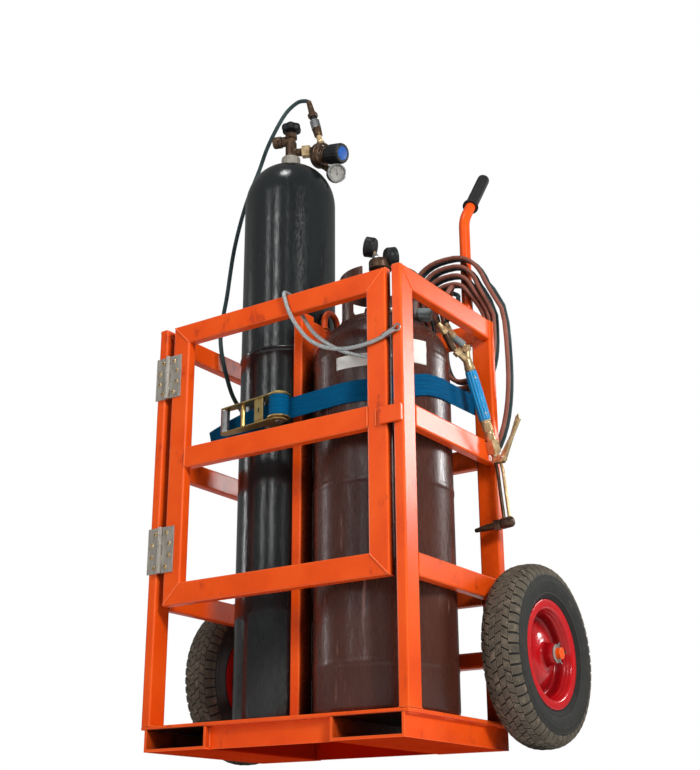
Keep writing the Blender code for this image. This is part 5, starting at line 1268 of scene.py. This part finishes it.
def flutes(count, depth):
    """Wave for a fluted grip: round ribs with hollows between them."""
    return lambda a: 1 - depth * (0.5 - 0.5 * cos(count * a)) ** 2


def gauge(piece, centre, facing, case, bezel, dial, ink, pane):
    """Pressure gauge: can, bezel, dial with ticks, needle and pane; the last five are slots."""
    place = frame_at(centre - facing * GAUGE_DEPTH / 2, facing)
    piece.turned("21.4 21.4, 21.4 23.6, 24.3 23.6, 24.3 19, 24.8 18, 24.8 6.2, 24 4.4, 21 0.6, "
                 "18 0, 7 0, 7 -1.2", place, 56, case)
    piece.lathe(mm("21.3 25.6, 22.2 26.2, 23.8 26.2, 25 25.2, 25 19.6, 24.4 19, 24.4 23.7, "
                   "21.3 23.7"), place, 56, bezel, closed=True)
    piece.turned("21.1 22.2, 21.1 21.5", place, 48, dial)
    local_up = place.to_3x3().inverted() @ UP
    top = atan2(local_up.y, local_up.x)
    for i in range(GAUGE_TICKS + 1):
        major = i % 5 == 0
        spin = place @ rotate("Z", top + radians(GAUGE_SWEEP * (0.5 - i / GAUGE_TICKS)))
        size = (0.004 if major else 0.0024, 0.0009 if major else 0.0005, 0.0002)
        piece.block(size, spin @ move(TICK_REACH - size[0] / 2, 0, DIAL_FACE), ink)
    ring = arc((0, 0), 0.0197, 0, 354, 60) + arc((0, 0), 0.0194, 354, 0, 60)
    piece.slab(ring, 0.0002, place @ move(0, 0, DIAL_FACE), ink)
    needle = mm("-5.5 -1, 0 -0.8, 16.5 -0.3, 16.5 0.3, 0 0.8, -5.5 1")
    pointing = place @ rotate("Z", top + NEEDLE_TURN) @ move(0, 0, NEEDLE_FACE)
    piece.slab(needle, 0.0004, pointing, ink)
    piece.turned("0 23.7, 1.4 23.6, 2.2 23, 2.2 22.2", place, 16, bezel)
    piece.turned("0 25.4, 12 25.2, 21.2 24.7, 21.2 24.3, 12 24.8, 0 25", place, 48, pane)


def build_oxygen_valve():
    valve = Piece("oxygen_valve_body", OLD_BRASS, BRASS, STEEL)
    place = move(*VALVE_FOOT)
    valve.turned("12.8 47, 15 45.2, 15.6 42.5, 15.6 9, 16.6 6.8, 17.5 4.5, 17.5 0", place, 64,
                 wave=lambda a: 0.985 + 0.03 * cos(4 * a))
    neck = mm("11.6 60.5, 12.4 57.5") + thread(0.0124, 0.0565, 0.048) + mm("12.8 47")
    valve.turned(neck, place, 40)
    nut(valve, place, 0.0172, 0.06, 0.0742)
    valve.turned("5.2 80, 6 79, 6 74.2", place, 24, 2)
    valve.turned(mm("9.5 30") + thread(0.0108, 0.0290, 0.0170) + mm("12.2 16, 12.2 0"),
                 frame_at(VALVE_FOOT + UP * OUTLET_RISE, OUTLET_WAY), 36)
    cap = frame_at(VALVE_FOOT + UP * CAP_RISE, level(CAP_TURN))
    nut(valve, cap, 0.0138, 0.013, 0.024)
    valve.turned("6 50, 7 49.2, 13 49.2, 15 47.8, 16 45.5, 16 27.5, 14.8 25.5, 10 24, 10 0", cap,
                 72, wave=flutes(18, 0.05))
    valve.done("cart", "brass", ["oxygen_valve"])
    wheel = Piece("valve_handwheel_grip", BLACK_PLASTIC, STEEL)
    place = move(*(VALVE_FOOT + UP * HANDWHEEL_RISE))
    wheel.turned("7 5, 8.5 6.2, 10.5 9.5, 14 10.9, 20 10.6, 24.8 8.6, 27 4.5, 27.5 0, 27 -4.5, "
                 "24.8 -8.6, 19 -10.6, 12 -10.8", place, 96,
                 wave=lambda a: 0.93 + 0.07 * cos(6 * a))
    nut(wheel, place, 0.0058, 0.005, 0.0084, 1)
    wheel.turned("0 10.4, 2.4 10.2, 2.8 9.6, 2.8 8.4", place, 16, 1)
    wheel.done("valve_handwheel", "black_plastic", ["oxygen_handwheel"])


def build_oxygen_regulator():
    outlet = VALVE_FOOT + UP * OUTLET_RISE
    centre = outlet + OUTLET_WAY * REGULATOR_REACH - UP * REGULATOR_DROP
    body = Piece("oxygen_regulator_body", OLD_BRASS, BRASS, STEEL, BLACK_PLASTIC, DIAL, INK, PANE)
    place = frame_at(centre, OXYGEN_KNOB_AXIS)
    rim = mm("21.2 24, 22 22.5, 22 16.5, 24 15.2, 28.5 15, 32 12.8, 34 9.5, 34 4, 32.8 3.2, "
             "32.8 2, 34 1.2, 34 -9.2, 32.2 -12.6, 28.5 -14.8, 13 -15, 12 -16")
    body.turned([(0.019, OXYGEN_BONNET)] + rim, place, 72)
    for i in range(6):
        spot = place @ rotate("Z", radians(60 * i + 12)) @ move(0.0268, 0, 0.0148)
        nut(body, spot, 0.0028, 0, 0.0024, 2)
    inlet = frame_at(outlet + OUTLET_WAY * (OUTLET_REACH + GAP), OUTLET_WAY)
    reach = REGULATOR_REACH - OUTLET_REACH - GAP
    nut(body, inlet, 0.0172, 0.0, 0.0225, 1)
    body.turned([(0.009, reach)] + mm("9 30, 11 27, 12.5 22.5"), inlet, 32)
    root, dial = centre + OXYGEN_GAUGE_ROOT, centre + OXYGEN_GAUGE
    stem = frame_at(root, dial - root)
    body.turned("6 52, 6 20, 6.8 18, 6.8 4", stem, 24)
    nut(body, stem, 0.0088, 0.022, 0.033)
    gauge(body, dial, OXYGEN_GAUGE_FACING, 0, 2, 4, 5, 6)
    tower = frame_at(OXYGEN_HOSE_START - OXYGEN_FITTING_AXIS * FITTING_LENGTH, OXYGEN_FITTING_AXIS)
    body.turned("6.6 152, 7.6 150.8, 8 142, 7.3 140.8, 7.3 139.2, 8.2 138, 8.6 124, 7.8 121.5",
                tower, 32)
    nut(body, tower, 0.0136, 0.108, 0.1212)
    body.turned("8.8 108, 9.4 106, 9.4 98, 8.8 95.8", tower, 32, 3)
    nut(body, tower, 0.0138, 0.069, 0.0955, 2, 8)
    body.turned("11.8 69, 12.4 67, 11 45, 9.8 43.2", tower, 32)
    body.turned(mm("7.2 43.2") + thread(0.0076, 0.0420, 0.0280) + mm("7.2 0"), tower, 28, 1)
    nut(body, tower, 0.0108, 0.012, 0.025, 1)
    body.done("cart", "brass", ["oxygen_regulator"])
    knob = Piece("oxygen_knob_grip", BLACK_PLASTIC, BLUE_PLASTIC)
    place = frame_at(centre + OXYGEN_KNOB_AXIS * (OXYGEN_BONNET + GAP), OXYGEN_KNOB_AXIS)
    knob.turned("18.5 51.2, 19 52, 23.2 52, 25.5 50.5, 27 47, 27.5 43, 27 13, 25.8 7, 23 2, "
                "21.5 0", place, 120, wave=flutes(20, 0.03))
    knob.turned("15 52.2, 17.2 51.8, 17.8 51.2, 0 51", place, 40, 1)
    knob.done("oxygen_knob", "black_plastic", ["oxygen_regulator_knob"])


build_oxygen_valve()
build_oxygen_regulator()

# Acetylene regulator
ACETYLENE_FOOT = ACETYLENE + UP * (DOME_Z + DOME_RISE + GAP)
ACETYLENE_KNOB_AXIS = level(20, -0.13)
ACETYLENE_BONNET_RISE, ACETYLENE_BONNET_LENGTH = 0.016, 0.088
MANIFOLD_RISE = 0.14


def build_acetylene_regulator():
    body = Piece("acetylene_regulator_body", BRASS, OLD_BRASS, STEEL, BLACK_PLASTIC, DIAL, INK,
                 PANE)
    place = move(*ACETYLENE_FOOT)
    body.turned("22.5 156, 26.2 154.5, 28 151.5, 28 145, 27 144, 27 142.5, 28 141.5, 28 132, "
                "25 129, 15 126", place, 64, 1)
    nut(body, place, 0.017, 0.111, 0.1262)
    body.turned(mm("12.4 111") + thread(0.0130, 0.1100, 0.0960) + mm("12.4 94"), place, 40)
    nut(body, place, 0.0192, 0.063, 0.0942)
    body.turned("17.2 63, 18 61, 18 42, 16.5 39, 12.8 37, 12.8 29", place, 48, 1)
    nut(body, place, 0.0252, 0.003, 0.029, 1, 8)
    body.turned("21 3.2, 20 0", place, 40, 1)
    bonnet = frame_at(ACETYLENE_FOOT + UP * ACETYLENE_BONNET_RISE, ACETYLENE_KNOB_AXIS)
    screw = mm("7.2 88") + thread(0.008, 0.087, 0.056)
    body.turned(screw + mm("8 54, 8 34, 11.2 32, 12 30, 12 0"), bonnet, 36)
    nut(body, bonnet, 0.0125, 0.04, 0.05, 2)
    outlet = frame_at(ACETYLENE_FOOT + UP * FUEL_OUTLET_RISE, FUEL_OUTLET_AXIS)
    body.turned("5.8 46, 6.6 45.2, 6.6 34", outlet, 24)
    nut(body, outlet, 0.0118, 0.02, 0.0345)
    body.turned("8 20.5, 8 0", outlet, 24)
    manifold = ACETYLENE_FOOT + UP * MANIFOLD_RISE
    for reach, facing in ((Vector((-0.023, -0.006, 0.056)),
                           Vector((-0.72, -0.3, 0.2)).normalized()),
                          (Vector((0.026, 0.006, 0.02)), Vector((0.6, 0.72, 0.2)).normalized())):
        stem = frame_at(manifold, reach)
        body.turned([(0.006, reach.length), (0.006, 0.0)], stem, 24)
        nut(body, stem, 0.0086, reach.length * 0.42, reach.length * 0.42 + 0.0095, 2)
        gauge(body, manifold + reach, facing, 3, 3, 4, 5, 6)
    body.done("cart", "brass", ["acetylene_regulator"])
    knob = Piece("acetylene_knob_grip", GREY_PLASTIC, STEEL)
    place = frame_at(ACETYLENE_FOOT + UP * ACETYLENE_BONNET_RISE
                     + ACETYLENE_KNOB_AXIS * (ACETYLENE_BONNET_LENGTH + GAP), ACETYLENE_KNOB_AXIS)
    knob.turned("8 33, 9 34, 14 34, 16 32.8, 17 30, 17 6, 15.5 3, 13 0", place, 96,
                wave=flutes(8, 0.10))
    nut(knob, place, 0.005, 0.033, 0.0352, 1)
    knob.done("acetylene_knob", "grey_plastic", ["acetylene_regulator_knob"])


build_acetylene_regulator()

# Cutting torch
LEVER_PIVOT = Vector((HALF + 0.034, 0.374, 0.64))
LEVER_TIP = Vector((HALF + 0.085, 0.374, 0.738))
LEVER_HALF, LEVER_CHEEK = 0.006 + GAP, 0.003
ARM_BOW, ARM_RADIUS, ARM_NUT = Vector((0.818, 0.575, 0)), 0.0062, 0.032
SLEEVE_START, SLEEVE_END = 0.042, 0.03
BARB_LENGTH, BARB_NUT, BARB_PITCH = 0.026, 0.0215, 0.0036


def torch_inlet(piece, inlet, sleeve, bow):
    """Bowed arm from the torch's fork to a hose barb: union nut, sleeve, small nut and barb."""
    run = inlet - INLET_ROOT
    straight = run.normalized()
    middle = INLET_ROOT.lerp(inlet, 0.4) + ARM_BOW * bow
    knots = [INLET_ROOT, middle, inlet - straight * BARB_LENGTH, inlet - straight * GAP]
    line = smooth_line(knots, 16)
    piece.sweep(line, circle(ARM_RADIUS, 24), grow=lambda t: 1.35 - 0.35 * min(1.0, t / 0.3))
    total = length_of(line)

    def spot(reach):
        """Placement at a reach along the arm."""
        travelled = 0.0
        for a, b in zip(line, line[1:]):
            step = (b - a).length
            if travelled + step >= reach:
                return frame_at(a.lerp(b, (reach - travelled) / step), b - a)
            travelled += step
        return frame_at(line[-1], straight)

    nut(piece, spot(ARM_NUT), 0.0112, -0.0065, 0.0065)
    length = total - SLEEVE_END - SLEEVE_START
    end = length / 2
    ring = mm("9 1.5, 8.3 0.5, 8.3 -1, 9 -2")
    tube = [(0.0074, end), (0.0086, end - 0.002)] + ring
    tube += [(0.0086, 0.002 - end), (0.0074, -end)]
    piece.turned(tube, spot(SLEEVE_START + end), 32, sleeve)
    nut(piece, spot(total - BARB_NUT), 0.01, -0.007, 0.007)
    ribs = []
    for i in range(4):
        ribs += [(ARM_RADIUS, -BARB_PITCH * i), (0.0069, -BARB_PITCH * i - 0.003)]
    piece.lathe([(0, 0)] + ribs + mm("6.2 -15, 0 -15"), spot(total), 24)


def build_torch():
    axis = TORCH_BLOCK - TORCH_TOP
    place = frame_at(TORCH_TOP, axis)
    grip = Piece("torch_grip", TORCH_BLUE, STEEL)
    grip.turned("11.8 153.5, 13.4 151.8, 14 148, 14.6 115, 14.7 90, 14.2 60, 13.7 42, 13.2 36.2, "
                "11.8 34.8", place, 120, wave=flutes(12, 0.11))
    for z in (0.052, 0.138):
        for turn in (0, pi):
            spot = place @ rotate("Z", turn + 0.4) @ move(0.0132, 0, z)
            grip.turned("0 1.6, 1.6 1.4, 2.8 0.6, 3 -1", spot @ rotate("Y", pi / 2), 18, 1)
    grip.done("cart", "brass")
    body = Piece("torch_brasswork", BRASS, OLD_BRASS, STEEL, GREY_PLASTIC)
    body.turned("11.4 34, 12.2 32.8, 12.2 26, 11.2 21.5, 10.2 8, 7.2 1.5, 0 0", place, 40)
    body.turned("12.6 35.2, 13 34.6, 12.6 33.8", place, 40, 2)
    torch_inlet(body, FUEL_INLET, 1, -0.008)
    torch_inlet(body, OXYGEN_INLET, 3, 0.014)
    body.turned("10.8 181.5, 11.7 180, 12 178, 12 160, 11.2 157.6, 12.4 155.8, 12.4 153.3", place,
                96, wave=flutes(24, 0.05))
    body.turned("9.8 203, 10.7 201.6, 10.7 193.5, 9.5 192.5, 9.5 190.8, 10.7 189.8, 10.7 183.2, "
                "9.8 181.4", place, 36)
    block = mm("-12.5 -8.5, -10 -11, 10 -11, 12.5 -8.5, 12.5 8.5, 10 11, -10 11, -12.5 8.5")
    body.slab(block, 0.0305, place @ move(0, 0, 0.2178))
    body.turned("9 247, 10 245.8, 10 236, 10.8 233", place, 32)
    cheek = mm("-22 -10, 0.5 -9.5") + arc((0, 0), 0.0062, -75, 80, 9) + mm("-4 6.2, -22 6")
    for sign in (-1, 1):
        middle = LEVER_PIVOT + Vector((0, sign * (LEVER_HALF + LEVER_CHEEK / 2), 0))
        body.slab(cheek, LEVER_CHEEK, move(*middle) @ rotate("X", pi / 2))
        head = frame_at(LEVER_PIVOT + Vector((0, sign * (LEVER_HALF + LEVER_CHEEK), 0)),
                        Vector((0, sign, 0)))
        body.turned("0 1.8, 2.2 1.5, 3.6 0", head, 20, 2)
    body.turned("3 16.5, 3 0", frame_at(LEVER_PIVOT - Vector((0, 0.00825, 0)), (0, 1, 0)), 20, 2)
    bow = TORCH_BLOCK.lerp(TORCH_HEAD, 0.55) + Vector((0.001, 0.002, 0))
    for sign in (-1, 1):
        shift = Vector((0.0051, 0.0035, 0)) * sign
        spine = [TORCH_BLOCK - axis * 0.03, TORCH_BLOCK + axis * 0.1, bow, TORCH_HEAD]
        body.sweep(smooth_line([p + shift for p in spine], 14), circle(0.004, 18),
                   1 if sign < 0 else 0)
        collar = frame_at(TORCH_BLOCK + shift, axis)
        body.turned("4.2 7, 5.4 5.5, 5.4 -1", collar, 24)
    nozzle = frame_at(TORCH_HEAD, TORCH_TIP - TORCH_HEAD)
    tip = (TORCH_TIP - TORCH_HEAD).length
    body.turned("7 -16, 9 -15, 11.6 -11.8, 12.5 -9, 12.5 12, 11.4 15, 10 16.8", nozzle, 48, 1)
    nut(body, nozzle, 0.0128, 0.0168, 0.0312, 1)
    taper = mm("2 3, 2.4 0, 4 0, 4.6 1, 5.2 8, 7 20, 7.9 30")
    cone = [(radius, tip - back) for radius, back in taper]
    body.turned(cone + mm("8.1 33, 9.5 31.2"), nozzle, 40, 1)
    body.done("cart", "brass", ["torch_body"], bevel=0.0003, segments=1)
    carry(["torch_lever"], BRASS, 0.0006)
    run = LEVER_TIP - LEVER_PIVOT
    flat = move(*LEVER_PIVOT) @ rotate("Y", -atan2(run.z, run.x))
    rib = Piece("lever_rib", BRASS)
    rib.sweep([flat @ Vector((run.length * (0.3 + 0.56 * t), 0, -0.0026 - 0.0008 * sin(pi * t)))
               for t in (i / 12 for i in range(13))],
              mm("-3.4 0, -2.4 1, 0 1.4, 2.4 1, 3.4 0, 0 -1"), side=(0, 1, 0))
    rib.done("cutting_lever", "brass")


build_torch()

FERRULE, FERRULE_RADIUS, FERRULE_GROOVE = 0.0105, 0.0074, 0.0007


def crimp(piece, place, length, slot=0):
    """Ribbed ferrule round a hose's end, along a placement's own Z."""
    outer = [(0.007, length * 0.98), (FERRULE_RADIUS, length * 0.9)]
    outer += [(FERRULE_RADIUS - FERRULE_GROOVE * (i % 2), length * (0.88 - 0.09 * i))
              for i in range(9)]
    piece.lathe([(0.0057, length)] + outer + mm("7.4 0, 5.7 0"), place, 28, slot, closed=True)


def build_hose_ends():
    ends = Piece("hose_ferrules", OLD_BRASS, BRASS)
    roots = ((OXYGEN_HOSE_START, OXYGEN_FITTING_AXIS), (FUEL_START, FUEL_OUTLET_AXIS),
             (FUEL_INLET, FUEL_INLET - INLET_ROOT), (OXYGEN_INLET, OXYGEN_INLET - INLET_ROOT))
    for k, (place, run) in enumerate(roots):
        crimp(ends, frame_at(place, run), FERRULE, k % 2)
    ends.done("cart", "brass")
    for gas, lay, material in GASES:
        route = coil_route(lay)
        joints = Piece(gas + "_hose_joints", material)
        for place, run in ((route[0], UP), (route[-1], RIGHT)):
            joints.lathe(mm("5.6 8.5, 6 8, 6.2 6, 6 0, 6.2 -6, 6 -8, 5.6 -8.5"),
                         frame_at(place, run), 28, closed=True)
        joints.done("cart", gas + "_hose")


build_hose_ends()

# Hinge screws and welds
PIN_X = 0.0105 - INNER
HINGE_LOW = (TOP - 0.076 - 0.107, LOW_TOP + 0.026)
LEAF, WELD_RADIUS, WELD_INSET = 0.0025, 0.0021, 0.003
EYE_FRONT, HOOP_WELD, UNDER_DECK = 0.097, 0.0088, 0.0469
SCREWS = mm("16.5 14, 26.2 40, 26.2 67, 17 93")
GATE_LEFT, GATE_RIGHT, GATE_BOTTOM = 0.021 - INNER, INNER - 0.016, LOW_TOP - TUBE_WIDE


def build_screws():
    for name, body, sign in (("post_leaf_screws", "cart", -1), ("gate_leaf_screws", "gate", 1)):
        piece = Piece(name, BRASS, OLD_BRASS)
        for low in HINGE_LOW:
            for k, (across, up) in enumerate(SCREWS):
                place = frame_at((PIN_X + sign * across, -GAP - LEAF, low + up), (0, -1, 0))
                piece.turned("0 3, 2.4 2.7, 4.3 1.7, 5.4 0.3, 5.4 -0.4", place, 20)
                # Crossed slots in darker brass: painted shade of the screw heads' cross recesses.
                for turn in (0.3 + k, 0.3 + k + pi / 2):
                    cross = place @ rotate("Z", turn) @ move(0, 0, 0.003)
                    piece.block((0.0056, 0.0012, 0.0003), cross, 1)
        piece.done(body, "zinc_plate")


def weld(piece, *runs):
    """Beads along the given runs."""
    for run in runs:
        piece.bead(run, WELD_RADIUS)


def down(x, y, top):
    """Run down the end of a rail."""
    return [(x, y, top - WELD_INSET), (x, y, top - TUBE_WIDE + WELD_INSET)]


def build_gate_welds():
    piece = Piece("gate_welds", ORANGE)
    inset, wide = WELD_INSET, TUBE_WIDE
    for y in (-0.0004, TUBE_NARROW + 0.0004):
        for x, way in ((GATE_LEFT, 1), (GATE_RIGHT, -1)):
            outer, inner = x + way * inset, x + way * (wide - inset)
            weld(piece, [(outer, y, GATE_BOTTOM + inset), (inner, y, GATE_BOTTOM + wide - inset)],
                 [(outer, y, TOP - inset), (inner, y, TOP - wide + inset)],
                 down(x + way * wide, y, MID_TOP))
    for x in (GATE_RIGHT - 0.0278, GATE_RIGHT + 0.0002):
        weld(piece, [(x, -0.0006, MID_TOP - 0.049), (x, -0.0006, MID_TOP - 0.013)])
    piece.done("gate", "orange_paint")


def build_cage_welds():
    piece = Piece("cage_welds", ORANGE)
    inset, wide = WELD_INSET, TUBE_WIDE
    for side in (-1, 1):
        for x in (side * (HALF + 0.0003), side * (INNER - 0.0003)):
            weld(piece, [(x, inset, TOP - inset), (x, wide - inset, TOP - wide + inset)],
                 down(x, REAR_FRONT, TOP))
            for top in (MID_TOP, LOW_TOP):
                weld(piece, down(x, wide, top), down(x, REAR_FRONT, top))
        for y in (DEPTH + 0.0003, REAR_FRONT - 0.0003):
            weld(piece, [(side * (HALF - inset), y, TOP - inset),
                         (side * (HALF - wide + inset), y, TOP - wide + inset)])
            for top in (MID_TOP, LOW_TOP):
                weld(piece, down(side * (HALF - wide), y, top))
        low, foot = DECK_TOP + 0.0005, 0.0015
        x0, x1 = side * (INNER - foot), side * (HALF - foot)
        weld(piece, [(x0, 0.004, low), (x0, wide + 0.0005, low), (x1, wide + 0.0005, low)],
             [(x0, REAR_FRONT - 0.0005, low), (x1, REAR_FRONT - 0.0005, low)],
             [(side * (HALF - wide - 0.0005), REAR_FRONT, low),
              (side * (HALF - wide - 0.0005), DEPTH - 0.004, low)])
    eye = EYE_FRONT + wide
    for x in (-0.0083, 0.0017):
        weld(piece, [(x, eye, 0.99), (x, eye, 0.8)])
        weld(piece, [(x, REAR_FRONT, 0.99), (x, REAR_FRONT, 0.958)])
    for y in (eye + 0.064, eye + 0.118):
        weld(piece, [(-0.0033 + HOOP_WELD * cos(a), y + HOOP_WELD * sin(a), 0.9962)
                     for a in ring_angles(20)])
    for x in (-HANDLE_X, HANDLE_X):
        weld(piece, [(x + 0.014 * cos(a), HANDLE_Y + 0.0122 * sin(a), TOP + 0.0005)
                     for a in ring_angles(28)])
    for side in (-1, 1):
        x = side * (HALF - 0.012)
        for y in (0.012, 0.15, 0.29, 0.372):
            weld(piece, [(x, y, UNDER_DECK), (x, y + 0.04, UNDER_DECK)])
        weld(piece, [(side * 0.162, 0.0148, 0.004), (side * 0.162, 0.0148, 0.043)])
    piece.done("cart", "orange_paint")


build_screws()
build_gate_welds()
build_cage_welds()
